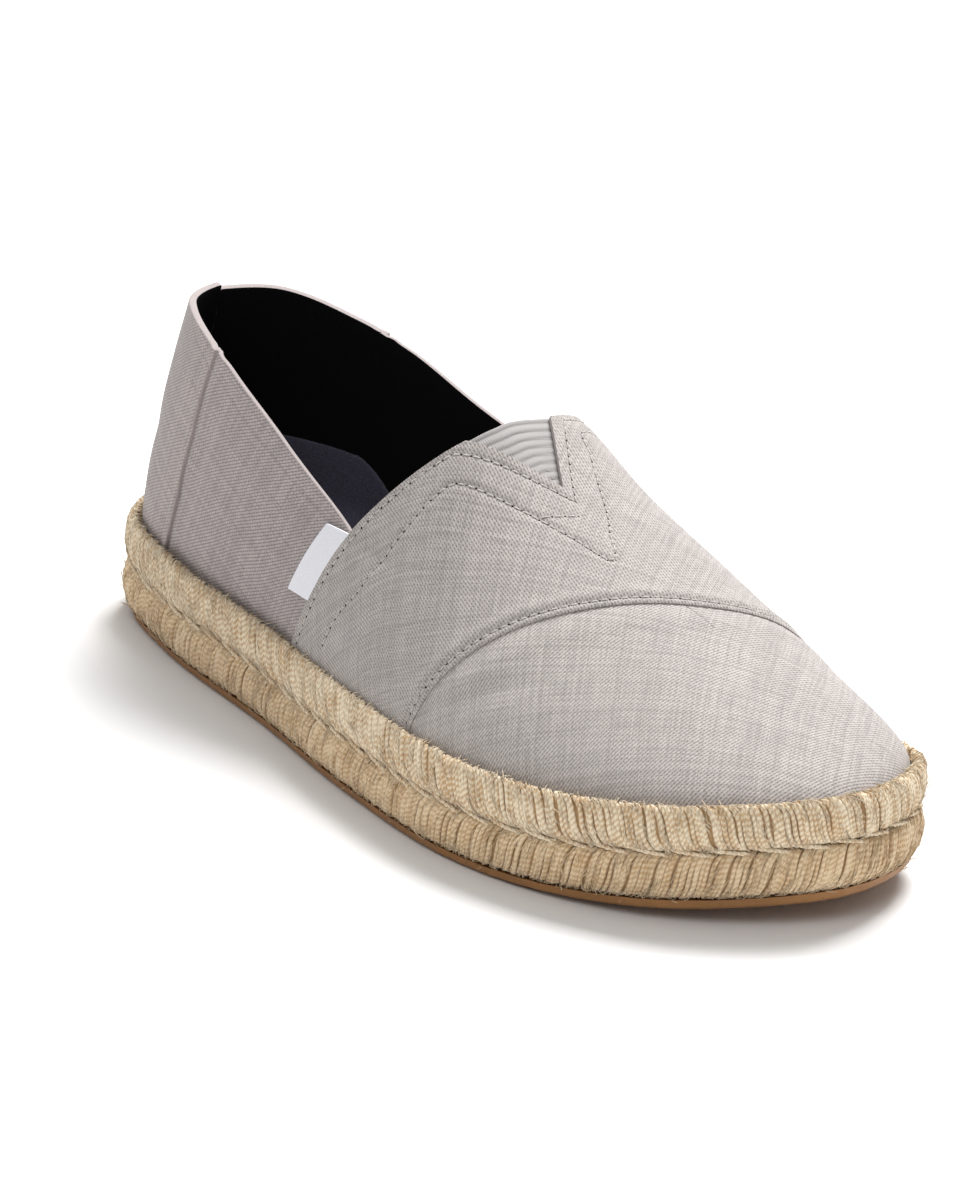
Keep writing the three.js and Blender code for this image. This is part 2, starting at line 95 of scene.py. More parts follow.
UPPER_INSET = [
    {"along": 0, "inset": 5.4},
    {"along": 60, "inset": 4.8},
    {"along": 120, "inset": 4.4},
    {"along": 180, "inset": 4.8},
    {"along": 240, "inset": 5.4},
]

RIDGE = [
    {"along": 40, "height": 140, "across": 3},
    {"along": 80, "height": 130, "across": 1},
    {"along": 120, "height": 108, "across": 0},
    {"along": 147, "height": 95, "across": 1},
    {"along": 168, "height": 80.5, "across": 4},
    {"along": 195, "height": 68, "across": 8},
    {"along": 215, "height": 60.5, "across": 11},
    {"along": 235, "height": 53.5, "across": 13},
    {"along": 252, "height": 47, "across": 13},
]
RIDGE_HEEL_END = 40
RIDGE_TOE_END = 252

PROFILES = {
    OUTER: [
        {"along": 6, "rise": 0.15, "crown": 0.4, "bulge": 0},
        {"along": 20, "rise": 0.3, "crown": 0.6, "bulge": 0},
        {"along": 45, "rise": 0.5, "crown": 0.85, "bulge": 0},
        {"along": 90, "rise": 0.45, "crown": 0.75, "bulge": 0},
        {"along": 125, "rise": 0.15, "crown": 0.42, "bulge": 0},
        {"along": 160, "rise": 0.3, "crown": 0.48, "bulge": 0},
        {"along": 210, "rise": 0.35, "crown": 0.42, "bulge": 0.05},
        {"along": 284, "rise": 0.4, "crown": 0.5, "bulge": 0.05},
    ],
    INNER: [
        {"along": 6, "rise": 0.15, "crown": 0.4, "bulge": 0},
        {"along": 20, "rise": 0.35, "crown": 0.7, "bulge": 0},
        {"along": 45, "rise": 0.55, "crown": 1, "bulge": 0.06},
        {"along": 90, "rise": 0.5, "crown": 1.1, "bulge": 0.16},
        {"along": 125, "rise": 0.55, "crown": 1.12, "bulge": 0.12},
        {"along": 160, "rise": 0.7, "crown": 1, "bulge": 0.06},
        {"along": 210, "rise": 0.66, "crown": 0.76, "bulge": 0.06},
        {"along": 284, "rise": 0.4, "crown": 0.5, "bulge": 0.05},
    ],
}

TOPLINE = [
    {"along": 0, "outer": 93, "inner": 93},
    {"along": 7, "outer": 93, "inner": 93},
    {"along": 25, "outer": 94, "inner": 91.4},
    {"along": 42, "outer": 94, "inner": 86.8},
    {"along": 55, "outer": 91.6, "inner": 84.6},
    {"along": 70, "outer": 86.6, "inner": 83},
    {"along": 88, "outer": 79.6, "inner": 80.4},
    {"along": 108, "outer": 70, "inner": 76.5},
    {"along": 125, "outer": 61.5, "inner": 72},
]
VAMP_EDGE = [
    {"height": 20, "along": 112},
    {"height": 45, "along": 118},
    {"height": 61.5, "along": 124.5},
    {"height": 74, "along": 132.5},
    {"height": 86, "along": 142},
    {"height": 94, "along": 148.5},
]
NOTCH_HALF_WIDTH = 15
NOTCH_DEPTH = 31.5
GORE_LAP = 2.5
GORE_BOW = 1
CAP_SEAM = {"along": 203, "skew": 0.45, "bow": 4, "half_width": 48}
HEEL_SEAM = {"top": 57, "foot": 38}


def read(table, key, at, column):
    """Reads one column of a table at many places, with a smooth curve through the rows."""
    keys = np.array([row[key] for row in table], float)
    values = np.array([row[column] for row in table], float)
    last = len(keys) - 1
    at = np.clip(np.asarray(at, float), keys[0], keys[last])
    i = np.clip(np.searchsorted(keys, at, side="right") - 1, 0, last - 1)
    before = np.maximum(i - 1, 0)
    after = np.minimum(i + 2, last)
    step = keys[i + 1] - keys[i]
    t = (at - keys[i]) / step
    leave = (values[i + 1] - values[before]) / (keys[i + 1] - keys[before]) * step
    arrive = (values[after] - values[i]) / (keys[after] - keys[i]) * step
    return (
        (2 * t**3 - 3 * t**2 + 1) * values[i]
        + (t**3 - 2 * t**2 + t) * leave
        + (-2 * t**3 + 3 * t**2) * values[i + 1]
        + (t**3 - t**2) * arrive
    )


def lift(along):
    """How far the toe spring and the heel's roll lift the shoe off the floor."""
    toe = np.maximum(0, along - SPRING_START) / (LENGTH - SPRING_START)
    heel = np.maximum(0, HEEL_LIFT_END - along) / HEEL_LIFT_END
    return TOE_SPRING * toe**2 + HEEL_LIFT * heel**2


def unit(vectors):
    return vectors / np.maximum(np.linalg.norm(vectors, axis=-1, keepdims=True), 1e-12)


class SoleLine:
    """The closed curve of the sole's edge, read by a turn from 0 to 1 round by the outer side."""

    SAMPLES = 160

    def __init__(self):
        points = np.array([(row["along"], row["across"]) for row in SOLE_EDGE], float)
        places = []
        for i in range(len(points)):
            p0, p1, p2, p3 = (points[(i + k - 1) % len(points)] for k in range(4))
            d0, d1, d2 = (np.linalg.norm(b - a) ** 0.5 for a, b in ((p0, p1), (p1, p2), (p2, p3)))
            leave = ((p1 - p0) / d0 - (p2 - p0) / (d0 + d1) + (p2 - p1) / d1) * d1
            arrive = ((p2 - p1) / d1 - (p3 - p1) / (d1 + d2) + (p3 - p2) / d2) * d1
            t = np.linspace(0, 1, self.SAMPLES, endpoint=False)[:, None]
            places.append(
                (2 * t**3 - 3 * t**2 + 1) * p1
                + (t**3 - 2 * t**2 + t) * leave
                + (-2 * t**3 + 3 * t**2) * p2
                + (t**3 - t**2) * arrive
            )
        self.places = np.concatenate(places + [points[:1]])
        run = np.linalg.norm(np.diff(self.places, axis=0), axis=1)
        self.length = run.sum()
        self.turns = np.concatenate([[0], np.cumsum(run)]) / self.length
        tangents = unit(np.roll(self.places[:-1], -1, 0) - np.roll(self.places[:-1], 1, 0))
        self.outs = np.stack([tangents[:, 1], -tangents[:, 0]], 1)
        self.outs = np.concatenate([self.outs, self.outs[:1]])

    def at(self, turn, inset):
        """Points of the edge moved in by inset, and the way out there."""
        turn = np.asarray(turn, float) % 1
        place = np.stack([np.interp(turn, self.turns, self.places[:, k]) for k in (0, 1)], -1)
        out = unit(np.stack([np.interp(turn, self.turns, self.outs[:, k]) for k in (0, 1)], -1))
        return place - out * np.asarray(inset, float)[..., None], out

    def foot(self, turn, extra=0):
        """Points of the line on which the upper stands."""
        along = self.at(turn, 0)[0][..., 0]
        return self.at(turn, read(UPPER_INSET, "along", along, "inset") + extra)


class Last:
    """The surface of the last. Station runs from 0 at the heel to 1 at the toe's tip, and level
    from 0 at the foot of the upper to 1 on the ridge."""

    STATIONS = 1201
    LOOK_STATIONS = np.linspace(0, 1, 601)
    LOOK_LEVELS = np.linspace(0, 1, 301)

    def __init__(self, sole):
        turns = np.linspace(0, 1, 24001)
        foot, out = sole.foot(turns)
        back = turns[np.argmin(foot[:, 0])]
        tip = turns[np.argmax(foot[:, 0])]
        back = back - 1 if back > 0.5 else back
        self.start = foot[:, 0].min()
        self.end = foot[:, 0].max()
        self.station = np.linspace(0, 1, self.STATIONS)
        self.curves = {}
        self.outs = {}
        self.slopes = {}
        self.run = {}
        self.dense = {}
        along = self.start + (self.end - self.start) * (1 - np.cos(np.pi * self.station)) / 2
        for side in SIDES:
            reach = tip - back if side == OUTER else tip - back - 1
            share = np.linspace(0, 1, 24001)
            place, out = sole.foot(back + reach * share)
            found = np.interp(along, np.maximum.accumulate(place[:, 0]), share)
            found[0], found[-1] = 0, 1
            place, out = sole.foot(back + reach * found)
            self.add_side(side, place, out)
            self.run[side] = np.concatenate(
                [[0], np.cumsum(np.linalg.norm(np.diff(place, axis=0), axis=1))]
            )
            self.dense[side] = self.point(side, self.LOOK_STATIONS[:, None], self.LOOK_LEVELS[None, :])

    def add_side(self, side, place, out):
        """Works out the four control points of each profile curve of one side."""
        x = place[:, 0]
        base = np.stack([x, place[:, 1], FOOT_HEIGHT + lift(x)], 1)
        share = (x - self.start) / (self.end - self.start)
        along = RIDGE_HEEL_END + (RIDGE_TOE_END - RIDGE_HEEL_END) * share
        height = read(RIDGE, "along", along, "height")
        near = np.clip(along, RIDGE_HEEL_END + 1, RIDGE_TOE_END - 1)
        slope = (
            read(RIDGE, "along", near + 1, "height") - read(RIDGE, "along", near - 1, "height")
        ) / 2
        top = np.stack([along, read(RIDGE, "along", along, "across"), height], 1)
        back = base[:, :2] - top[:, :2]
        width = np.linalg.norm(back, axis=1)
        back = back / width[:, None]
        shape = {name: read(PROFILES[side], "along", x, name) for name in ("rise", "crown", "bulge")}
        climb = shape["rise"] * (height - base[:, 2])
        run = shape["crown"] * width
        lower = base.copy()
        lower[:, :2] += out * (shape["bulge"] * climb)[:, None]
        lower[:, 2] += climb
        upper = top + np.stack([back[:, 0] * run, back[:, 1] * run, back[:, 0] * run * slope], 1)
        self.curves[side] = np.stack([base, lower, upper, top], 1)
        self.outs[side] = back
        self.slopes[side] = slope

    def controls(self, side, station):
        place = np.clip(station, 0, 1) * (self.STATIONS - 1)
        i = np.clip(place.astype(int), 0, self.STATIONS - 2)
        t = (place - i)[..., None, None]
        table = self.curves[side]
        return table[i] * (1 - t) + table[i + 1] * t

    def point(self, side, station, level):
        station, level = np.broadcast_arrays(np.asarray(station, float), np.asarray(level, float))
        c = self.controls(side, station)
        t = level[..., None]
        return (
            (1 - t) ** 3 * c[..., 0, :]
            + 3 * (1 - t) ** 2 * t * c[..., 1, :]
            + 3 * (1 - t) * t**2 * c[..., 2, :]
            + t**3 * c[..., 3, :]
        )

    def out(self, side, station, level):
        """The way out of the surface."""
        station, level = np.broadcast_arrays(np.asarray(station, float), np.asarray(level, float))
        near = 0.004
        ahead = self.point(side, np.minimum(station + near, 1), level)
        behind = self.point(side, np.maximum(station - near, 0), level)
        above = self.point(side, station, np.minimum(level + near, 1))
        below = self.point(side, station, np.maximum(level - near, 0))
        out = unit(np.cross(ahead - behind, above - below) * -side)
        slope = np.interp(station, self.station, self.slopes[side])
        ridge = unit(np.stack([-slope, 0 * slope, 1 + 0 * slope], -1))
        share = np.clip((level - 0.88) / 0.12, 0, 1)[..., None]
        share = share**2 * (3 - 2 * share)
        return unit(out * (1 - share) + ridge * share)

    def over_ridge(self, station, over):
        """Places of the surface and the way out there. Over runs from -1 at the outer foot to 0
        on the ridge and 1 at the inner foot."""
        outer = (over < 0)[..., None]
        low = np.minimum(1 + over, 1)
        high = np.minimum(1 - over, 1)
        place = np.where(outer, self.point(OUTER, station, low), self.point(INNER, station, high))
        out = np.where(outer, self.out(OUTER, station, low), self.out(INNER, station, high))
        return place, out

    def spot(self, side, along, height=None, across=None):
        """The station, and the height over the ridge, of the place of one side that fits best."""
        places = self.dense[side]
        away = (places[..., 0] - along) ** 2
        if height is not None:
            away = away + (places[..., 2] - height) ** 2
        if across is not None:
            away = away + (places[..., 1] - across) ** 2 + 100 * (self.LOOK_LEVELS < 0.5)
        i, j = np.unravel_index(away.argmin(), away.shape)
        station = self.LOOK_STATIONS[i] + np.linspace(-1, 1, 41)[:, None] / 600
        level = np.minimum(self.LOOK_LEVELS[j] + np.linspace(-1, 1, 41)[None, :] / 300, 1)
        station, level = np.broadcast_arrays(station, level)
        near = self.point(side, station, level)
        away = (near[..., 0] - along) ** 2
        if height is not None:
            away = away + (near[..., 2] - height) ** 2
        if across is not None:
            away = away + (near[..., 1] - across) ** 2
        best = np.unravel_index(away.argmin(), away.shape)
        return station[best], (1 - level[best]) * side

    def cloth(self, side, station, level, wrapped):
        """Where a place of the surface lies in the flat cloth. A wrapped panel runs round the
        foot of the shoe, and the others fan out from the ridge."""
        station, level = np.broadcast_arrays(np.asarray(station, float), np.asarray(level, float))
        steps = np.linspace(0, 1, 65)
        stations = np.linspace(0, 1, 201)
        grid = self.point(side, stations[:, None], steps[None, :])
        climb = np.concatenate(
            [
                np.zeros((len(stations), 1)),
                np.cumsum(np.linalg.norm(np.diff(grid, axis=1), axis=2), axis=1),
            ],
            axis=1,
        )
        i = np.clip((station * 200).astype(int), 0, 199)
        j = np.clip((level * 64).astype(int), 0, 63)
        a = station * 200 - i
        b = level * 64 - j
        rise = (climb[i, j] * (1 - a) + climb[i + 1, j] * a) * (1 - b) + (
            climb[i, j + 1] * (1 - a) + climb[i + 1, j + 1] * a
        ) * b
        if wrapped:
            round_foot = np.interp(station, self.station, self.run[side])
            return np.stack([round_foot * -side, rise], -1)
        whole = climb[i, -1] * (1 - a) + climb[i + 1, -1] * a
        down = whole - rise
        top = self.controls(side, station)[..., 3, :]
        way = np.stack(
            [np.interp(station, self.station, self.outs[side][:, k]) for k in (0, 1)], -1
        )
        way = unit(way)
        return np.stack([top[..., 0] * 1.12, top[..., 1]], -1) + way * down[..., None]

    def station_at(self, side, level, line):
        """The station at which the surface reaches a line across the shoe, for each level."""
        level = np.asarray(level, float)
        low = np.full(level.shape, 0.02)
        high = np.full(level.shape, 0.999)
        for _ in range(36):
            middle = (low + high) / 2
            short = line(self.point(side, middle, level)) < 0
            low = np.where(short, middle, low)
            high = np.where(short, high, middle)
        return (low + high) / 2

    def level_where(self, side, station, above):
        """The level at which a rising measure of the surface crosses zero, for each station."""
        station = np.asarray(station, float)
        low = np.zeros(station.shape)
        high = np.ones(station.shape)
        for _ in range(36):
            middle = (low + high) / 2
            short = above(self.point(side, station, middle)) < 0
            low = np.where(short, middle, low)
            high = np.where(short, high, middle)
        return (low + high) / 2


sole = SoleLine()
last = Last(sole)


def vamp_edge(p):
    return p[..., 0] - read(VAMP_EDGE, "height", p[..., 2], "along")


def ridge_across(p):
    return read(RIDGE, "along", p[..., 0], "across")


def notched_edge(inset):
    def line(p):
        from_ridge = np.abs(p[..., 1] - ridge_across(p))
        share = 1 - from_ridge / (NOTCH_HALF_WIDTH - inset)
        return vamp_edge(p) - (NOTCH_DEPTH - inset) * np.maximum(0, share)

    return line


def gore_edge(p):
    share = (p[..., 1] - ridge_across(p)) / NOTCH_HALF_WIDTH
    return vamp_edge(p) + GORE_BOW * np.maximum(0, 1 - share**2)


def cap_seam(p):
    across = p[..., 1] / CAP_SEAM["half_width"]
    bow = CAP_SEAM["bow"] * (1 - across**2)
    return p[..., 0] - CAP_SEAM["along"] - CAP_SEAM["skew"] * p[..., 1] - bow


def heel_seam(p):
    share = (p[..., 2] - UPPER_ROPE_TOP) / (TOPLINE[0]["outer"] - UPPER_ROPE_TOP)
    return p[..., 0] - HEEL_SEAM["foot"] - (HEEL_SEAM["top"] - HEEL_SEAM["foot"]) * share


def shifted(line, ahead):
    return lambda p: line(p) - ahead


LEVELS = np.linspace(0, 1, 241)
STATIONS = np.linspace(0, 1, 241)


def line_stations(side, line):
    """A function that gives a line's station at any level."""
    table = last.station_at(side, np.minimum(LEVELS, 0.999), line)
    return lambda level: np.interp(level, LEVELS, table)


def collar_levels(side):
    column = "inner" if side == INNER else "outer"

    def above(p):
        return p[..., 2] - read(TOPLINE, "along", p[..., 0], column)

    table = last.level_where(side, STATIONS, above)
    return lambda station: np.interp(station, STATIONS, table)


def patch(side, columns, rows, start, end, top):
    """Stations and levels of a grid over the last, between two lines across the shoe."""
    c = np.linspace(0, 1, columns + 1)[:, None]
    share = np.linspace(0, 1, rows + 1)[None, :]
    level = np.broadcast_to(share, (columns + 1, rows + 1)).copy()
    station = np.zeros_like(level)
    for _ in range(8):
        first = start(level)
        station = first + (end(level) - first) * c
        level = top(station) * share
    return {"side": side, "station": station, "level": level, "share": share + 0 * c, "c": c + 0 * share}


# Creases and soft folds. Each runs through places given along the shoe and above the floor, width is
# half its breadth, and height is minus for a trough.
CREASES = [
    {"side": OUTER, "through": [(179, 33), (188, 38), (198, 44), (208, 48)], "width": 3.6, "height": -0.9},
    {"side": OUTER, "through": [(183, 31), (193, 36.5), (201, 42)], "width": 0.8, "height": -0.3},
    {"side": OUTER, "through": [(186, 31), (197, 36.5), (207, 42)], "width": 0.8, "height": -0.26},
    {"side": OUTER, "through": [(190, 31.5), (202, 37), (213, 43)], "width": 0.9, "height": -0.22},
    {"side": OUTER, "through": [(196, 33), (208, 38), (220, 43)], "width": 1, "height": -0.18},
    {"side": OUTER, "through": [(186, 45), (194, 49), (204, 52.5)], "width": 0.8, "height": -0.25},
    {"side": OUTER, "through": [(127.7, 61), (137.9, 60.8), (149, 60)], "width": 1.8, "height": -0.6},
    {"side": OUTER, "through": [(128, 57), (138, 56), (147, 54)], "width": 2.4, "height": 0.35},
    {"side": OUTER, "through": [(133, 46), (150, 43), (168, 41)], "width": 6, "height": -0.5},
    {"side": OUTER, "through": [(46, 61), (53, 68), (58, 75)], "width": 4, "height": -0.6},
    {"side": OUTER, "through": [(40, 38), (49, 48), (57, 59)], "width": 5, "height": -0.6},
    {"side": OUTER, "through": [(88, 66), (97, 58), (106, 49)], "width": 5, "height": -0.45},
    {"side": OUTER, "through": [(66, 40), (84, 45), (102, 44)], "width": 6, "height": 0.45},
    {"side": OUTER, "through": [(12, 62), (20, 55), (30, 50)], "width": 6, "height": -0.5},
    {"side": INNER, "through": [(216, 33), (222, 40), (229, 46)], "width": 3.6, "height": -0.7},
    {"side": INNER, "through": [(221, 32), (228, 38), (236, 43)], "width": 0.9, "height": -0.25},
    {"side": INNER, "through": [(128, 64), (140, 64), (152, 63)], "width": 2, "height": -0.5},
    {"side": INNER, "through": [(46, 60), (54, 68), (60, 76)], "width": 4.5, "height": -0.6},
    {"side": INNER, "through": [(74, 44), (92, 50), (108, 52)], "width": 6, "height": -0.5},
]

# The second row of stitches on the vamp, from the outer foot over the throat to the inner foot
ROW_TWO = [
    {"side": OUTER, "along": 129.4, "height": 33.6},
    {"side": OUTER, "along": 131.9, "height": 42.5},
    {"side": OUTER, "along": 136.8, "height": 49.7},
    {"side": OUTER, "along": 140.3, "height": 56.6},
    {"side": OUTER, "along": 144.5, "height": 67},
    {"side": OUTER, "along": 147.8, "height": 76.3},
    {"side": OUTER, "along": 150.9, "across": -19.5},
    {"side": OUTER, "along": 156, "across": -16.7},
    {"side": OUTER, "along": 163.8, "across": -12.4},
    {"side": OUTER, "along": 171.6, "across": -8.1},
    {"side": OUTER, "along": 181.5, "across": -3.3},
    {"side": OUTER, "along": 192.2, "across": 1.8},
    {"side": INNER, "along": 182, "across": 8},
    {"side": INNER, "along": 168.4, "across": 14.9},
    {"side": INNER, "along": 158.8, "across": 19.1},
    {"side": INNER, "along": 151.5, "across": 22.5},
    {"side": INNER, "along": 148.5, "height": 76},
    {"side": INNER, "along": 145, "height": 66},
    {"side": INNER, "along": 141, "height": 56},
    {"side": INNER, "along": 136, "height": 45},
    {"side": INNER, "along": 133, "height": 34},
]
THROAT_BAR = [
    {"side": OUTER, "along": 171.8, "across": -7.6},
    {"side": OUTER, "along": 174, "across": -2.8},
    {"side": OUTER, "along": 176, "across": 2.1},
]


def trail_through(rows):
    """A trail over the shoe through the places of a table, as stations and heights over the ridge."""
    spots = [last.spot(**row) for row in rows]
    station = np.array([spot[0] for spot in spots])
    over = np.array([spot[1] for spot in spots])
    step = np.linspace(0, len(rows) - 1, 40 * len(rows))
    order = [{"step": i, "station": s, "over": o} for i, (s, o) in enumerate(zip(station, over))]
    return read(order, "step", step, "station"), read(order, "step", step, "over")


def trail_along(line, foot):
    """A trail along a line across the shoe, from the outer foot over the ridge to the inner foot."""
    levels = np.linspace(foot, 1, 500)
    outer = line_stations(OUTER, line)(levels)
    inner = line_stations(INNER, line)(levels)[::-1]
    return np.concatenate([outer, inner]), np.concatenate([levels - 1, 1 - levels[::-1]])


def evened(trail, pitch):
    """The trail at even steps of about a pitch."""
    station, over = trail
    places = last.over_ridge(station, over)[0]
    run = np.concatenate([[0], np.cumsum(np.linalg.norm(np.diff(places, axis=0), axis=1))])
    at = np.linspace(0, run[-1], int(run[-1] / pitch) + 1)
    return np.interp(at, run, station), np.interp(at, run, over)


def nearness(points, places, width):
    """How near each point is to a row of places: 1 on it and fading to 0 beyond the width."""
    flat = points.reshape(-1, 3)
    gap = np.full(len(flat), 1e9)
    for start in range(0, len(places), 40):
        part = places[start : start + 40]
        away = np.linalg.norm(flat[:, None, :] - part[None, :, :], axis=2).min(axis=1)
        gap = np.minimum(gap, away)
    return np.exp(-((gap / width) ** 2)).reshape(points.shape[:-1])


def crease_height(side, points):
    """How far the creases move each place of the surface."""
    move = np.zeros(points.shape[:-1])
    for crease in CREASES:
        if crease["side"] != side:
            continue
        rows = [{"side": side, "along": along, "height": height} for along, height in crease["through"]]
        station, over = trail_through(rows)
        places = last.over_ridge(station, over)[0]
        flat = points.reshape(-1, 3)
        away = np.linalg.norm(flat[:, None, :] - places[None, :, :], axis=2)
        share = away.argmin(axis=1) / (len(places) - 1)
        fade = np.sin(np.pi * (0.08 + 0.84 * share)) ** 0.8
        rise = crease["height"] * np.exp(-((away.min(axis=1) / crease["width"]) ** 2)) * fade
        move += rise.reshape(move.shape)
    return move


def sway(points, pitch, amount, seed):
    """Slow, soft unevenness of cloth drawn over the last by hand."""
    x, y, z = (points[..., k] / pitch for k in range(3))
    wave = (
        np.sin(x * 2.1 + y * 1.3 + seed)
        + np.sin(y * 2.7 - z * 1.9 + seed * 2.3)
        + np.sin(z * 2.3 + x * 1.1 - seed * 1.7)
    )
    return amount * wave / 3


def relief(side, points, level):
    """The cloth's creases and unevenness, calm where the rope holds its foot."""
    calm = np.clip(level * 8, 0, 1)
    return (crease_height(side, points) + sway(points, 16, 0.16, 1)) * calm


PANEL_LIFT = 0.3
PANEL_WALL = 0.8
VAMP_WALL = 1.0
QUARTER_WALL = 1.5
PANEL_TOP = PANEL_LIFT + PANEL_WALL
VAMP_TOP = PANEL_TOP + 0.25
ROW_ONE_INSET = 2.2
TOE_ROW_BEHIND = 2.1
STITCH_PITCH = 2.7
ROW_FOOT = 0.04
# How far each cloth was turned when it was cut, in degrees.
QUARTER_CUT = 20
VAMP_CUT = 50
CAP_CUT = -45


def row_one(p):
    """The line of the first row of stitches, just inside the vamp's edge."""
    share = 1 - np.abs(p[..., 1] - ridge_across(p)) / (NOTCH_HALF_WIDTH + ROW_ONE_INSET)
    return vamp_edge(p) - np.maximum(ROW_ONE_INSET, (NOTCH_DEPTH + 4.4) * share)


TRAILS = {
    "edge_row": trail_along(row_one, ROW_FOOT),
    "second_row": trail_through(ROW_TWO),
    "throat_bar": trail_through(THROAT_BAR),
    "toe_row": trail_along(shifted(cap_seam, -TOE_ROW_BEHIND), ROW_FOOT),
}
STITCHED = {name: last.over_ridge(*evened(trail, STITCH_PITCH))[0] for name, trail in TRAILS.items()}
DRAWN_IN = {name: last.over_ridge(*evened(trail, 1.0))[0] for name, trail in TRAILS.items()}


def vamp_height(side, points, level):
    """How far the vamp's face stands off the last, drawn in along its stitches."""
    height = VAMP_TOP + relief(side, points, level)
    for name, depth in (("edge_row", 0.3), ("second_row", 0.28), ("throat_bar", 0.2), ("toe_row", 0.35)):
        height = height - depth * nearness(points, DRAWN_IN[name], 0.9)
        height = height - 0.12 * nearness(points, STITCHED[name], 0.8)
    ahead = -cap_seam(points)
    height = height - 0.35 * np.exp(-((np.maximum(ahead, 0) / 0.5) ** 2))
    height = height + 0.18 * np.exp(-(((ahead - 1.0) / 0.7) ** 2))
    height = height + 0.4 * np.exp(-(((ahead - 4.4) / 1.8) ** 2))
    second = nearness(points, DRAWN_IN["second_row"], 3.2) - nearness(points, DRAWN_IN["second_row"], 1.3)
    return height + 0.22 * second


def off_last(grid, height):
    """The places of a patch at a height above the last."""
    side, station, level = grid["side"], grid["station"], grid["level"]
    out = last.out(side, station, level)
    return last.point(side, station, level) + out * np.asarray(height)[..., None]


def to_frame(points):
    """From heel measure in millimetres to the shoe's own frame in metres."""
    shift = np.array([CENTRE_ALONG, CENTRE_ACROSS, 0])
    return (points - shift) * MM


def grid_mesh(bm, points, cloth=None, material=0, tones=None, part=None):
    """Adds a grid of faces and moves its vertices to the places given. A part is how many columns
    belong together: the faces between one part and the next are left out."""
    columns, rows = points.shape[0] - 1, points.shape[1] - 1
    layer = bm.loops.layers.uv.verify()
    tone = bm.verts.layers.float.get("tone") or bm.verts.layers.float.new("tone")
    made = bmesh.ops.create_grid(bm, x_segments=columns, y_segments=rows, size=1)
    places = to_frame(points)
    spots = {}
    for vert in made["verts"]:
        i = round((vert.co.x + 1) / 2 * columns)
        j = round((vert.co.y + 1) / 2 * rows)
        spots[vert] = (i, j)
        vert.co = places[i, j]
        if tones is not None:
            vert[tone] = tones[i]
    spare = []
    for face in {face for vert in made["verts"] for face in vert.link_faces}:
        face.material_index = material
        face.smooth = True
        for loop in face.loops:
            i, j = spots[loop.vert]
            loop[layer].uv = cloth[i, j] if cloth is not None else (i, j)
        if part and min(spots[vert][0] for vert in face.verts) % part == part - 1:
            spare.append(face)
    bmesh.ops.delete(bm, geom=spare, context="FACES_ONLY")


def panel_side(bm, grid, height, wrapped, turn):
    """Adds one side of a cloth panel, with its faces outwards. Turn is how the twill was cut."""
    points = off_last(grid, height)
    cloth = last.cloth(grid["side"], grid["station"], grid["level"], wrapped)
    cos, sin = math.cos(math.radians(turn)), math.sin(math.radians(turn))
    cloth = cloth @ np.array([[cos, sin], [-sin, cos]])
    if grid["side"] == INNER:
        points, cloth = points[::-1], cloth[::-1]
    grid_mesh(bm, points, cloth)


def close_up(bm, distance=0.04):
    """Joins patches where they meet."""
    bmesh.ops.remove_doubles(bm, verts=bm.verts[:], dist=distance * MM)
    bmesh.ops.dissolve_degenerate(bm, edges=bm.edges[:], dist=1e-7)
    loose = [edge for edge in bm.edges if not edge.link_faces]
    bmesh.ops.delete(bm, geom=loose, context="EDGES")
    alone = [vert for vert in bm.verts if not vert.link_faces]
    bmesh.ops.delete(bm, geom=alone, context="VERTS")


def piece(name, bm, materials, replaces=()):
    """Makes a mesh object of a bmesh, which rides on the shoe."""
    if not bm.faces:
        raise RuntimeError(name + " has no faces")
    data = bpy.data.meshes.new(name)
    bm.to_mesh(data)
    bm.free()
    obj = bpy.data.objects.new(name, data)
    bpy.context.scene.collection.objects.link(obj)
    for material in materials:
        data.materials.append(material)
    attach(obj, "root")
    if replaces:
        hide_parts(*replaces)
    return obj


def thicken(obj, thickness, edge, lining=0, rim=0):
    """Gives a sheet its thickness inwards, and rounds its edges."""
    shell = obj.modifiers.new("thickness", "SOLIDIFY")
    shell.thickness = thickness * MM
    shell.offset = -1
    shell.use_even_offset = False
    shell.material_offset = lining
    shell.material_offset_rim = rim
    if edge:
        soft = obj.modifiers.new("rounded_edge", "BEVEL")
        soft.width = edge * MM
        soft.segments = 3
        soft.limit_method = "ANGLE"
        soft.angle_limit = math.radians(50)


def add_strands(bm, paths, outs, radii, sides, tones, material=0, twist=0.0):
    """Adds many threads at once. Paths and ways out are given thread by thread, and each thread
    closes to a point at both ends."""
    count, steps = paths.shape[:2]
    ahead = unit(np.gradient(paths, axis=1))
    across = unit(np.cross(ahead, outs))
    normal = np.cross(across, ahead)
    thick = np.broadcast_to(np.asarray(radii, float), (count, steps)).copy()
    thick[:, 0] = 0
    thick[:, -1] = 0
    angle = np.linspace(0, 2 * np.pi, sides + 1)
    rings = (
        paths[:, :, None, :]
        + across[:, :, None, :] * (np.cos(angle)[:, None] * thick[:, :, None, None])
        + normal[:, :, None, :] * (np.sin(angle)[:, None] * thick[:, :, None, None])
    )
    run = np.cumsum(np.linalg.norm(np.diff(paths, axis=1, prepend=paths[:, :1]), axis=2), axis=1)
    along = run + np.arange(count)[:, None] * 3.7
    u = np.broadcast_to(along[:, :, None], rings.shape[:3])
    v = angle / (2 * np.pi) + twist * run[:, :, None]
    cloth = np.stack([u, np.broadcast_to(v, rings.shape[:3])], -1)
    grid_mesh(
        bm,
        rings.reshape(count * steps, sides + 1, 3),
        cloth.reshape(count * steps, sides + 1, 2),
        material,
        np.repeat(tones, steps),
        steps,
    )


# Finishes


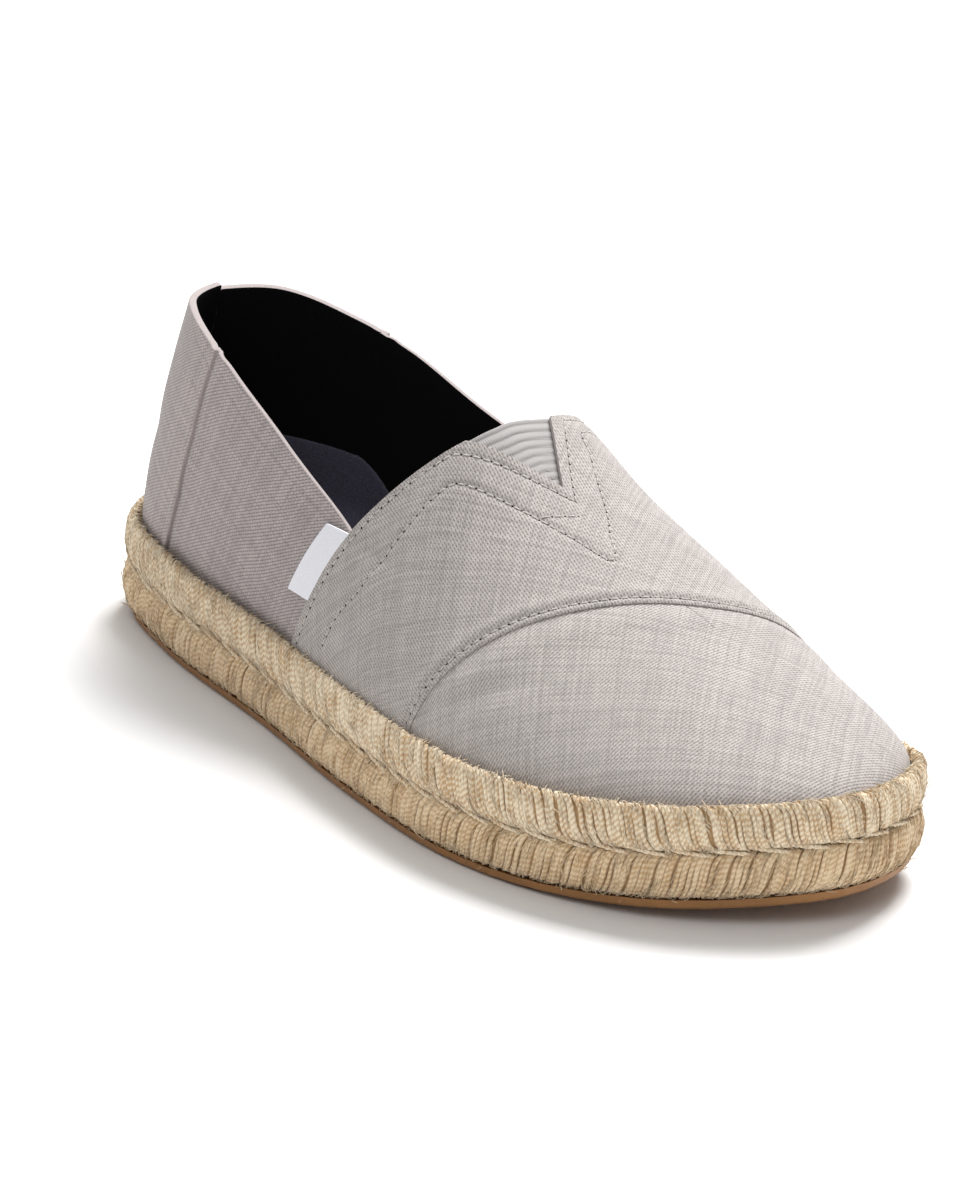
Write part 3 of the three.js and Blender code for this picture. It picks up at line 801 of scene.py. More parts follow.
class Graph:
    """Short ways to build a material's nodes."""

    def __init__(self, name):
        self.material = bpy.data.materials.new(name)
        self.material.use_nodes = True
        self.nodes = self.material.node_tree.nodes
        self.links = self.material.node_tree.links
        self.shader = self.nodes["Principled BSDF"]

    def put(self, socket, value):
        if isinstance(value, bpy.types.NodeSocket):
            self.links.new(value, socket)
        else:
            socket.default_value = value

    def math(self, operation, *values):
        node = self.nodes.new("ShaderNodeMath")
        node.operation = operation
        for socket, value in zip(node.inputs, values):
            self.put(socket, value)
        return node.outputs[0]

    def weighed(self, *pairs):
        """The sum of values, each times its weight."""
        total = 0.0
        for value, weight in pairs:
            total = self.math("MULTIPLY_ADD", value, weight, total)
        return total

    def wave(self, value, cycles):
        """A sine from 0 to 1 with so many cycles for each unit of the value."""
        sine = self.math("SINE", self.math("MULTIPLY", value, cycles * 2 * math.pi))
        return self.math("MULTIPLY_ADD", sine, 0.5, 0.5)

    def mix(self, share, first, second):
        node = self.nodes.new("ShaderNodeMix")
        node.data_type = "RGBA"
        self.put(node.inputs["Factor"], share)
        self.put(node.inputs[6], first)
        self.put(node.inputs[7], second)
        return node.outputs[2]

    def noise(self, vector, scale, detail=2.0, roughness=0.5):
        node = self.nodes.new("ShaderNodeTexNoise")
        self.put(node.inputs["Vector"], vector)
        node.inputs["Scale"].default_value = scale
        node.inputs["Detail"].default_value = detail
        node.inputs["Roughness"].default_value = roughness
        return node.outputs["Fac"]

    def random(self, value, seed):
        """A value of its own for each whole number."""
        node = self.nodes.new("ShaderNodeTexWhiteNoise")
        node.noise_dimensions = "2D"
        self.put(node.inputs["Vector"], self.combine(self.math("FLOOR", value), seed))
        return node.outputs["Value"]

    def combine(self, x, y, z=0.0):
        node = self.nodes.new("ShaderNodeCombineXYZ")
        self.put(node.inputs[0], x)
        self.put(node.inputs[1], y)
        self.put(node.inputs[2], z)
        return node.outputs[0]

    def scaled(self, u, v, by_u, by_v):
        return self.combine(self.math("MULTIPLY", u, by_u), self.math("MULTIPLY", v, by_v))

    def split(self, vector):
        node = self.nodes.new("ShaderNodeSeparateXYZ")
        self.put(node.inputs[0], vector)
        return node.outputs

    def ramp(self, value, low, high):
        node = self.nodes.new("ShaderNodeMapRange")
        node.interpolation_type = "SMOOTHSTEP"
        self.put(node.inputs["Value"], value)
        node.inputs["From Min"].default_value = low
        node.inputs["From Max"].default_value = high
        return node.outputs["Result"]

    def place(self):
        return self.nodes.new("ShaderNodeTexCoord").outputs["Object"]

    def uv(self):
        return self.nodes.new("ShaderNodeUVMap").outputs[0]

    def attribute(self, name):
        node = self.nodes.new("ShaderNodeAttribute")
        node.attribute_name = name
        return node.outputs["Fac"]

    def bump(self, height, strength, distance):
        node = self.nodes.new("ShaderNodeBump")
        node.inputs["Strength"].default_value = strength
        node.inputs["Distance"].default_value = distance * MM
        self.put(node.inputs["Height"], height)
        self.links.new(node.outputs[0], self.shader.inputs["Normal"])

    def finish(self, color, roughness, specular=0.3, sheen=0.0):
        self.put(self.shader.inputs["Base Color"], color)
        self.shader.inputs["Roughness"].default_value = roughness
        self.shader.inputs["Specular IOR Level"].default_value = specular
        self.shader.inputs["Sheen Weight"].default_value = sheen
        self.shader.inputs["Sheen Roughness"].default_value = 0.5
        return self.material


def screen(red, green, blue):
    """A linear colour from one given as the screen shows it, 0 to 255."""
    out = []
    for channel in (red, green, blue):
        c = channel / 255
        out.append(c / 12.92 if c <= 0.04045 else ((c + 0.055) / 1.055) ** 2.4)
    return tuple(out)


def tint(color, factor=1.0):
    """A colour made lighter or darker by a factor, as the screen shows it."""
    return (*(min(1.0, channel * factor**2.2) for channel in color), 1.0)


TWILL_REPEAT = 3
KNOT_REPEAT = 4


def canvas(name, color, pitch, ribbed):
    """Slubby twill. Ribbed is how far its ribs show over the pits between its threads."""
    g = Graph(name)
    u, v, _ = g.split(g.uv())
    wander = g.math("SUBTRACT", g.noise(g.uv(), 0.03, 1.0), 0.5)
    u = g.math("MULTIPLY_ADD", wander, 1.6, u)
    v = g.math("MULTIPLY_ADD", wander, -1.6, v)
    warp = g.math("DIVIDE", u, pitch)
    weft = g.math("DIVIDE", v, pitch)
    rib = g.wave(g.math("SUBTRACT", warp, weft), 1 / TWILL_REPEAT)
    knot = g.wave(g.math("ADD", warp, weft), 1 / KNOT_REPEAT)
    uneven = g.math("SUBTRACT", g.noise(g.uv(), 0.9, 2.0), 0.5)
    pit = g.math("MULTIPLY_ADD", uneven, 0.5, g.math("MULTIPLY", rib, knot))
    valley = g.math("MULTIPLY_ADD", uneven, 0.5, rib)
    sunk = g.weighed((g.ramp(pit, 0.3, 0.85), 1 - ribbed), (g.ramp(valley, 0.35, 1.0), ribbed))
    height = g.math("SUBTRACT", 1.0, sunk)
    slub_warp = g.noise(g.scaled(u, v, 2.1, 0.1), 1.0, 1.0)
    slub_weft = g.noise(g.scaled(u, v, 0.1, 2.1), 1.0, 1.0)
    tone = g.weighed(
        (g.random(warp, 0.5), 0.14),
        (g.random(weft, 7.5), 0.14),
        (slub_warp, 0.4),
        (slub_weft, 0.4),
        (g.noise(g.uv(), 0.04, 3.0), 0.12),
        (g.noise(g.uv(), 2.4, 2.0, 0.7), 0.5),
    )
    base = g.mix(g.ramp(tone, 0.6, 1.1), tint(color, 0.88), tint(color, 1.1))
    # Painted shade: the colour darkens towards a deeper grey in the pits between the threads, where the
    # bump sinks.
    base = g.mix(g.math("MULTIPLY", sunk, 0.8), base, tint(color, 0.62))
    g.bump(height, 0.5, 0.14)
    return g.finish(base, 0.92, 0.12, 0.2)


def hem_cloth(color):
    """The folded edge of the canvas, too narrow to show its twill."""
    g = Graph("hem_edge")
    fuzz = g.noise(g.place(), 1400.0, 3.0, 0.7)
    base = g.mix(fuzz, tint(color, 0.82), tint(color, 1.12))
    g.bump(fuzz, 0.6, 0.25)
    return g.finish(base, 0.92, 0.12, 0.2)


def lining_cloth(color):
    g = Graph("black_lining")
    grain = g.noise(g.place(), 2600.0, 2.0)
    base = g.mix(grain, tint(color, 0.8), tint(color, 1.9))
    g.bump(grain, 0.4, 0.2)
    return g.finish(base, 0.95, 0.08)


def insole_cloth(color):
    g = Graph("dark_insole")
    grain = g.noise(g.place(), 1500.0, 2.0)
    base = g.mix(grain, tint(color, 0.8), tint(color, 1.25))
    g.bump(grain, 0.5, 0.3)
    return g.finish(base, 0.9, 0.15)


def jute(name, color, brown, plies):
    """Jute yarn. The mesh's UV runs along each yarn and round it, tone is the yarn's own tint, partly at
    random and partly painted shade on rope yarns sunk between bundles, and plies is how plainly its twist
    shows."""
    g = Graph(name)
    along, around, _ = g.split(g.uv())
    tone = g.attribute("tone")
    grain = g.combine(
        g.math("MULTIPLY", along, 0.5),
        g.math("MULTIPLY", around, 7.0),
        g.math("MULTIPLY", tone, 40.0),
    )
    fibre = g.noise(grain, 1.0, 3.0, 0.6)
    twist = g.wave(g.math("MULTIPLY_ADD", along, 0.55, around), 1.0)
    blotch = g.noise(g.place(), 130.0, 3.0)
    fleck = g.noise(g.place(), 520.0, 2.0)
    # Painted shade: the colour darkens with the twist where its bump sinks into the grooves, and with a low
    # tone; fibre, blotch and fleck are the jute's own grain.
    light = g.weighed((fibre, 0.45), (tone, 0.2), (blotch, 0.5), (fleck, 0.25), (twist, plies))
    base = g.mix(g.ramp(light, 0.42 + plies / 2, 0.92 + plies / 2), tint(brown), tint(color))
    g.bump(g.weighed((fibre, 0.7), (twist, plies)), 0.8, 0.3)
    return g.finish(base, 0.88, 0.12, 0.25)


def gum_rubber(color):
    g = Graph("gum_rubber")
    speck = g.noise(g.place(), 900.0, 3.0)
    cloud = g.noise(g.place(), 60.0, 2.0)
    base = g.mix(cloud, tint(color, 0.88), tint(color, 1.1))
    base = g.mix(g.ramp(speck, 0.6, 0.75), base, tint(color, 0.72))
    g.bump(speck, 0.3, 0.2)
    return g.finish(base, 0.55, 0.4)


def elastic_web(color):
    g = Graph("gore_elastic")
    along, across, _ = g.split(g.uv())
    knit = g.wave(across, 1 / 0.7)
    fuzz = g.noise(g.uv(), 2.5, 2.0)
    base = g.mix(fuzz, tint(color, 0.9), tint(color, 1.08))
    # Painted shade: the tone attribute darkens the elastic in the valleys between its ribs.
    base = g.mix(g.attribute("tone"), base, tint(color, 0.6))
    g.bump(g.weighed((knit, 0.5), (fuzz, 1.0)), 0.4, 0.2)
    return g.finish(base, 0.85, 0.2, 0.15)


def label_tape(color):
    """Plain woven tape, folded double."""
    g = Graph("label_tape")
    along, across, _ = g.split(g.uv())
    ribs = g.wave(along, 1 / 0.5)
    fuzz = g.noise(g.uv(), 2.0, 2.0)
    base = g.mix(fuzz, tint(color, 0.95), tint(color, 1.03))
    g.bump(g.weighed((ribs, 0.4), (fuzz, 1.0)), 0.3, 0.1)
    return g.finish(base, 0.7, 0.3)


def thread_finish(name, color):
    g = Graph(name)
    fuzz = g.noise(g.place(), 2500.0, 2.0)
    base = g.mix(fuzz, tint(color, 0.85), tint(color, 1.1))
    g.bump(fuzz, 0.4, 0.1)
    return g.finish(base, 0.85, 0.2)


# What a user would change


def length_setting(name, description, millimetres):
    return bpy.props.FloatProperty(
        name=name, description=description, default=millimetres * MM, min=0, unit="LENGTH", precision=5
    )


def count_setting(name, description, default, least):
    return bpy.props.IntProperty(name=name, description=description, default=default, min=least)


def number_setting(name, description, default, least=0):
    return bpy.props.FloatProperty(name=name, description=description, default=default, min=least)


def colour_setting(name, description, red, green, blue):
    return bpy.props.FloatVectorProperty(
        name=name, description=description, default=screen(red, green, blue), min=0, max=1, subtype="COLOR"
    )


class ClothSettings(bpy.types.PropertyGroup):
    """The canvas, its lining and its label."""

    thread_pitch: length_setting("Thread pitch", "Distance from one canvas thread to the next", 0.42)
    quarter: colour_setting("Quarters", "Colour of the quarters", 174, 164, 162)
    heel: colour_setting("Heel panel", "Colour of the heel panel", 176, 166, 163)
    vamp: colour_setting("Vamp", "Colour of the vamp", 182, 175, 171)
    cap: colour_setting("Toe cap", "Colour of the toe cap", 186, 179, 175)
    gore: colour_setting("Gore", "Colour of the elastic gore", 178, 174, 172)
    label: colour_setting("Label", "Colour of the blank side label", 236, 236, 242)
    lining: colour_setting("Lining", "Colour of the lining", 8, 8, 9)
    insole: colour_setting("Insole", "Colour of the insole", 82, 79, 92)
    ribs: count_setting("Gore ribs", "Ribs across the elastic gore", 12, 2)


class RopeSettings(bpy.types.PropertyGroup):
    """The two jute ropes and the rubber under them."""

    yarn_pitch: length_setting("Yarn pitch", "Distance from one yarn to the next round the sole", 0.97)
    yarn_radius: length_setting("Yarn radius", "Half the thickness of one yarn", 0.62)
    toe_lean: length_setting("Lean at the toe", "How far a yarn leans over the height of a rope", 9.5)
    stitch_pitch: length_setting("Running stitch", "Length of one running stitch between the ropes", 10.8)
    fibres: count_setting("Fibres", "Fine fibres on each rope", 3300, 0)
    upper: colour_setting("Upper rope", "Colour of the upper rope", 238, 224, 198)
    lower: colour_setting("Lower rope", "Colour of the lower rope", 230, 208, 174)
    brown: colour_setting("Jute shade", "Darker colour in the jute", 198, 164, 122)
    # The core is jute like the yarns, set darker to paint the shade deep between them.
    core: colour_setting("Rope core", "Colour deep between the yarns", 196, 160, 116)
    rubber: colour_setting("Outsole", "Colour of the gum rubber", 150, 106, 62)


class StitchSettings(bpy.types.PropertyGroup):
    """The rows of stitches in the canvas."""

    hole_radius: length_setting("Hole radius", "Half the width of a needle hole", 0.4)
    thread_radius: length_setting("Thread radius", "Half the thickness of the sewing thread", 0.2)
    thread: colour_setting("Thread", "Colour of the sewing thread", 205, 201, 196)
    # The needle holes are dark dots on the cloth: their colour is painted shade in the holes.
    hole: colour_setting("Hole", "Colour deep in a needle hole", 52, 46, 44)


class StudioSettings(bpy.types.PropertyGroup):
    """The camera, floor and light."""

    lens: number_setting("Lens", "Focal length in millimetres", 300, 1)
    roll: bpy.props.FloatProperty(
        name="Roll", description="Turn of the camera", default=math.radians(3.46), subtype="ANGLE"
    )
    sky: number_setting("Room light", "Strength of the light all round", 0.36)
    key: bpy.props.FloatProperty(
        name="Softbox", description="Power of the softbox", default=52, subtype="POWER", unit="POWER"
    )


SETTINGS = {
    "espadrille_cloth": ClothSettings,
    "espadrille_rope": RopeSettings,
    "espadrille_stitch": StitchSettings,
    "espadrille_studio": StudioSettings,
}


# Pieces of the upper


def no_end(level):
    return 0 * level


def far_end(level):
    return 1 + 0 * level


class AddQuarters(bpy.types.Operator):
    """Lay the two canvas quarters on the last, lined in black"""

    bl_idname = "espadrille.add_quarters"
    bl_label = "Quarters"
    under_heel = 2.0
    under_vamp = 7.0

    def execute(self, context):
        cloth = context.scene.espadrille_cloth
        bm = bmesh.new()
        for side in SIDES:
            start = line_stations(side, shifted(heel_seam, -self.under_heel))
            end = line_stations(side, shifted(vamp_edge, self.under_vamp))
            grid = patch(side, 84, 44, start, end, collar_levels(side))
            points = last.point(side, grid["station"], grid["level"])
            gap = heel_seam(points)
            groove = -0.3 * np.exp(-(((gap - 0.3) / 0.6) ** 2))
            swell = 0.45 * np.exp(-(((gap - 3.2) / 2.4) ** 2))
            height = relief(side, points, grid["level"]) + groove + swell
            hem = np.exp(-(((1 - grid["share"]) * 60 / 2.2) ** 2))
            panel_side(bm, grid, height + 0.2 * hem, True, QUARTER_CUT)
        close_up(bm)
        finishes = [
            canvas("quarter_canvas", cloth.quarter, cloth.thread_pitch / MM, 0.6),
            lining_cloth(cloth.lining),
            hem_cloth(cloth.quarter),
        ]
        obj = piece("quarters", bm, finishes, ["upper"])
        thicken(obj, QUARTER_WALL, 0.45, lining=1, rim=2)
        return {"FINISHED"}


class AddHeelPanel(bpy.types.Operator):
    """Wrap the heel panel round the back, its side edges folded under"""

    bl_idname = "espadrille.add_heel_panel"
    bl_label = "Heel panel"

    def execute(self, context):
        cloth = context.scene.espadrille_cloth
        bm = bmesh.new()
        for side in SIDES:
            grid = patch(side, 64, 46, no_end, line_stations(side, heel_seam), collar_levels(side))
            points = last.point(side, grid["station"], grid["level"])
            gap = -heel_seam(points)
            height = PANEL_TOP - 0.1 + relief(side, points, grid["level"])
            height = height + 0.35 * np.exp(-(((gap - 1.2) / 1.1) ** 2))
            height = height - 0.2 * np.exp(-(((gap - 3.8) / 1.1) ** 2))
            hem = np.exp(-(((1 - grid["share"]) * 60 / 2.2) ** 2))
            panel_side(bm, grid, height + 0.15 * hem, True, QUARTER_CUT)
        close_up(bm)
        finishes = [
            canvas("heel_canvas", cloth.heel, cloth.thread_pitch / MM, 0.5),
            bpy.data.materials["black_lining"],
            bpy.data.materials["hem_edge"],
        ]
        obj = piece("heel_cloth", bm, finishes, ["heel_panel"])
        thicken(obj, PANEL_TOP + QUARTER_WALL - 0.4, 0.5, lining=1, rim=2)
        return {"FINISHED"}


class AddVamp(bpy.types.Operator):
    """Lay the vamp over the quarters, notched at the throat"""

    bl_idname = "espadrille.add_vamp"
    bl_label = "Vamp"

    def execute(self, context):
        cloth = context.scene.espadrille_cloth
        bm = bmesh.new()
        for side in SIDES:
            start = line_stations(side, notched_edge(GORE_LAP))
            grid = patch(side, 110, 110, start, line_stations(side, cap_seam), far_end)
            points = last.point(side, grid["station"], grid["level"])
            panel_side(bm, grid, vamp_height(side, points, grid["level"]), False, VAMP_CUT)
        close_up(bm)
        finishes = [
            canvas("vamp_canvas", cloth.vamp, cloth.thread_pitch / MM, 0.4),
            bpy.data.materials["black_lining"],
            bpy.data.materials["hem_edge"],
        ]
        obj = piece("vamp_cloth", bm, finishes, ["vamp"])
        thicken(obj, VAMP_WALL, 0.4, lining=1, rim=2)
        return {"FINISHED"}


class AddToeCap(bpy.types.Operator):
    """Lay the toe cap, drawn down along its seam"""

    bl_idname = "espadrille.add_toe_cap"
    bl_label = "Toe cap"
    under_vamp = 3.0

    def execute(self, context):
        cloth = context.scene.espadrille_cloth
        bm = bmesh.new()
        for side in SIDES:
            start = line_stations(side, shifted(cap_seam, -self.under_vamp))
            grid = patch(side, 96, 96, start, far_end, far_end)
            points = last.point(side, grid["station"], grid["level"])
            gap = cap_seam(points)
            height = PANEL_TOP - 0.1 + relief(side, points, grid["level"])
            height = height - 0.2 * np.exp(-((np.maximum(gap - 0.2, 0) / 1.2) ** 2))
            height = height + 0.4 * np.exp(-(((gap - 7) / 3.5) ** 2))
            height = height - 0.25 * nearness(points, STITCHED["toe_row"] + (3, 0, -1), 1.3)
            panel_side(bm, grid, height, False, CAP_CUT)
        close_up(bm)
        finishes = [canvas("cap_canvas", cloth.cap, cloth.thread_pitch / MM, 0.55)]
        obj = piece("cap_cloth", bm, finishes, ["toe_cap"])
        thicken(obj, PANEL_WALL, 0)
        return {"FINISHED"}


class AddLining(bpy.types.Operator):
    """Line the front of the shoe in black, from the throat to the toe"""

    bl_idname = "espadrille.add_lining"
    bl_label = "Lining"

    def execute(self, context):
        bm = bmesh.new()
        for side in SIDES:
            grid = patch(side, 50, 24, line_stations(side, shifted(vamp_edge, 1.5)), far_end, far_end)
            points = off_last(grid, -QUARTER_WALL - 0.1)
            grid_mesh(bm, points[::-1] if side == INNER else points)
        close_up(bm, 0.1)
        obj = piece("lining", bm, [bpy.data.materials["black_lining"]])
        thicken(obj, 0.3, 0)
        return {"FINISHED"}


class AddGore(bpy.types.Operator):
    """Set the ribbed elastic gore under the notch"""

    bl_idname = "espadrille.add_gore"
    bl_label = "Elastic gore"

    def execute(self, context):
        cloth = context.scene.espadrille_cloth
        bm = bmesh.new()
        for side in SIDES:
            back = line_stations(side, gore_edge)
            front = line_stations(side, shifted(notched_edge(0), 3))
            share = np.linspace(0, 1, 121)[:, None]
            steps = np.linspace(0, 1, 41)[None, :]
            lowest = LEVELS[np.argmax(front(LEVELS) > back(LEVELS) + 0.002)]
            level = lowest + (1 - lowest) * steps + 0 * share
            behind = last.point(side, back(level), level)
            station = back(level) + (front(1.0) - back(1.0)) * share
            station = np.minimum(station, np.maximum(front(level), back(level)))
            grid = {"side": side, "station": station, "level": level}
            run = np.linalg.norm(last.point(side, station, level) - behind, axis=-1)
            wave = np.sqrt(np.abs(np.cos(np.pi * run / NOTCH_DEPTH * cloth.ribs)))
            points = off_last(grid, -0.45 + 0.42 * wave)
            flat = np.stack([run, last.cloth(side, station, level, False)[..., 1]], -1)
            if side == INNER:
                points, flat, wave = points[::-1], flat[::-1], wave[::-1]
            # The tones darken the columns in the valleys between the ribs: painted shade.
            grid_mesh(bm, points, flat, tones=(1 - wave[:, -1]) * 0.8)
        close_up(bm)
        obj = piece("gore_web", bm, [elastic_web(cloth.gore)], ["elastic_gore"])
        thicken(obj, 0.9, 0)
        return {"FINISHED"}


LABEL = {"length": 20, "width": 8.6, "below": 1.5, "thickness": 0.9, "lift": 0.45, "tucked": 0.5}


class AddLabel(bpy.types.Operator):
    """Catch the blank side label under the vamp's edge"""

    bl_idname = "espadrille.add_label"
    bl_label = "Side label"

    def execute(self, context):
        cloth = context.scene.espadrille_cloth
        throat = read(TOPLINE, "along", 122, "outer")
        top = throat - LABEL["below"]
        drop = np.linspace(0, 1, 25)[None, :]
        share = np.linspace(0, 1, 13)[:, None]
        height = top - LABEL["length"] * drop + 0 * share
        edge = read(VAMP_EDGE, "height", height, "along") + LABEL["tucked"]
        along = edge - (LABEL["width"] + LABEL["tucked"]) * (1 - share)
        height = height + 0.5 * (1 - share)
        station = np.zeros_like(height)
        level = np.zeros_like(height)
        for i, j in np.ndindex(height.shape):
            station[i, j], over = last.spot(OUTER, along=along[i, j], height=height[i, j])
            level[i, j] = 1 + over
        grid = {"side": OUTER, "station": station, "level": level}
        puff = 0.35 * np.sin(np.pi * np.clip(share * 0.9, 0, 1)) * (0.6 + 0.4 * np.sin(np.pi * drop))
        curl = 0.7 * (1 - share) ** 4 * (0.4 + 0.6 * drop)
        points = off_last(grid, LABEL["lift"] + LABEL["thickness"] + puff + curl)
        flat = np.stack([share * LABEL["width"] + 0 * drop, drop * LABEL["length"] + 0 * share], -1)
        bm = bmesh.new()
        grid_mesh(bm, points[::-1], flat[::-1])
        obj = piece("side_tape", bm, [label_tape(cloth.label)], ["side_label"])
        thicken(obj, LABEL["thickness"] - 0.1, 0.3)
        return {"FINISHED"}


class AddSeams(bpy.types.Operator):
    """Sew the rows of stitches on the vamp: needle holes, dark dots of painted shade, and thread"""

    bl_idname = "espadrille.add_seams"
    bl_label = "Seam stitches"

    def execute(self, context):
        stitch = context.scene.espadrille_stitch
        holes = bmesh.new()
        threads = bmesh.new()
        paths = []
        outs = []
        for trail in TRAILS.values():
            station, over = evened(trail, STITCH_PITCH)
            for start, end in zip(range(len(station) - 1), range(1, len(station))):
                share = np.linspace(0.1, 0.9, 6)
                s = station[start] + (station[end] - station[start]) * share
                o = over[start] + (over[end] - over[start]) * share
                place, out = self.on_vamp(s, o)
                rise = -0.1 + 0.28 * np.sin(np.pi * np.linspace(0, 1, 6)) ** 0.7
                paths.append(place + out * rise[:, None])
                outs.append(out)
            place, out = self.on_vamp(station, over)
            # Each needle hole is a flat dark dot on the vamp's face: painted shade.
            self.add_hole_shades(holes, place, out, stitch.hole_radius)
        add_strands(
            threads, np.array(paths), np.array(outs), stitch.thread_radius / MM, 5, np.full(len(paths), 0.5)
        )
        close_up(threads, 0.01)
        piece("seam_hole_shades", holes, [thread_finish("needle_hole_shade", stitch.hole)])
        piece("seam_threads", threads, [thread_finish("sewing_thread", stitch.thread)])
        return {"FINISHED"}

    def on_vamp(self, station, over):
        """Places on the vamp's face along a trail, and the way out."""
        place, out = last.over_ridge(station, over)
        level = 1 - np.abs(over)
        height = np.where(over < 0, vamp_height(OUTER, place, level), vamp_height(INNER, place, level))
        return place + out * height[:, None], out

    def add_hole_shades(self, bm, places, outs, radius):
        for place, out in zip(places, outs):
            made = bmesh.ops.create_icosphere(bm, subdivisions=1, radius=radius)
            bmesh.ops.scale(bm, verts=made["verts"], vec=(1, 1, 0.45))
            turn = Vector((0, 0, 1)).rotation_difference(Vector(out)).to_matrix()
            bmesh.ops.rotate(bm, verts=made["verts"], matrix=turn)
            bmesh.ops.translate(bm, verts=made["verts"], vec=Vector(to_frame(place)))
        for face in bm.faces:
            face.smooth = True


# The ropes


BUNDLE = 7
ROPE_SECTION = [
    {"share": 0, "inset": 4.6, "height": 0.14},
    {"share": 0.12, "inset": 2.3, "height": 0.02},
    {"share": 0.28, "inset": 0.7, "height": 0.2},
    {"share": 0.5, "inset": 0.1, "height": 0.52},
    {"share": 0.72, "inset": 0.7, "height": 0.84},
    {"share": 0.88, "inset": 2.2, "height": 1.0},
    {"share": 1, "inset": 4.6, "height": 0.92},
]


def rope_face(turn, share, bottom, top, sink):
    """Places on a rope's rounded side, and the way out there."""
    inset = read(ROPE_SECTION, "share", share, "inset")
    height = bottom + (top - bottom) * read(ROPE_SECTION, "share", share, "height")
    near = 0.02
    inset_run = read(ROPE_SECTION, "share", share + near, "inset") - read(
        ROPE_SECTION, "share", share - near, "inset"
    )
    height_run = (top - bottom) * (
        read(ROPE_SECTION, "share", share + near, "height")
        - read(ROPE_SECTION, "share", share - near, "height")
    )
    place, flat_out = sole.at(turn, inset)
    run = np.maximum(np.hypot(inset_run, height_run), 1e-9)
    out = np.concatenate(
        [flat_out * (height_run / run)[..., None], (inset_run / run)[..., None]], -1
    )
    place = np.concatenate([place, (height + lift(place[..., 0]))[..., None]], -1)
    return place - out * np.asarray(sink)[..., None], out


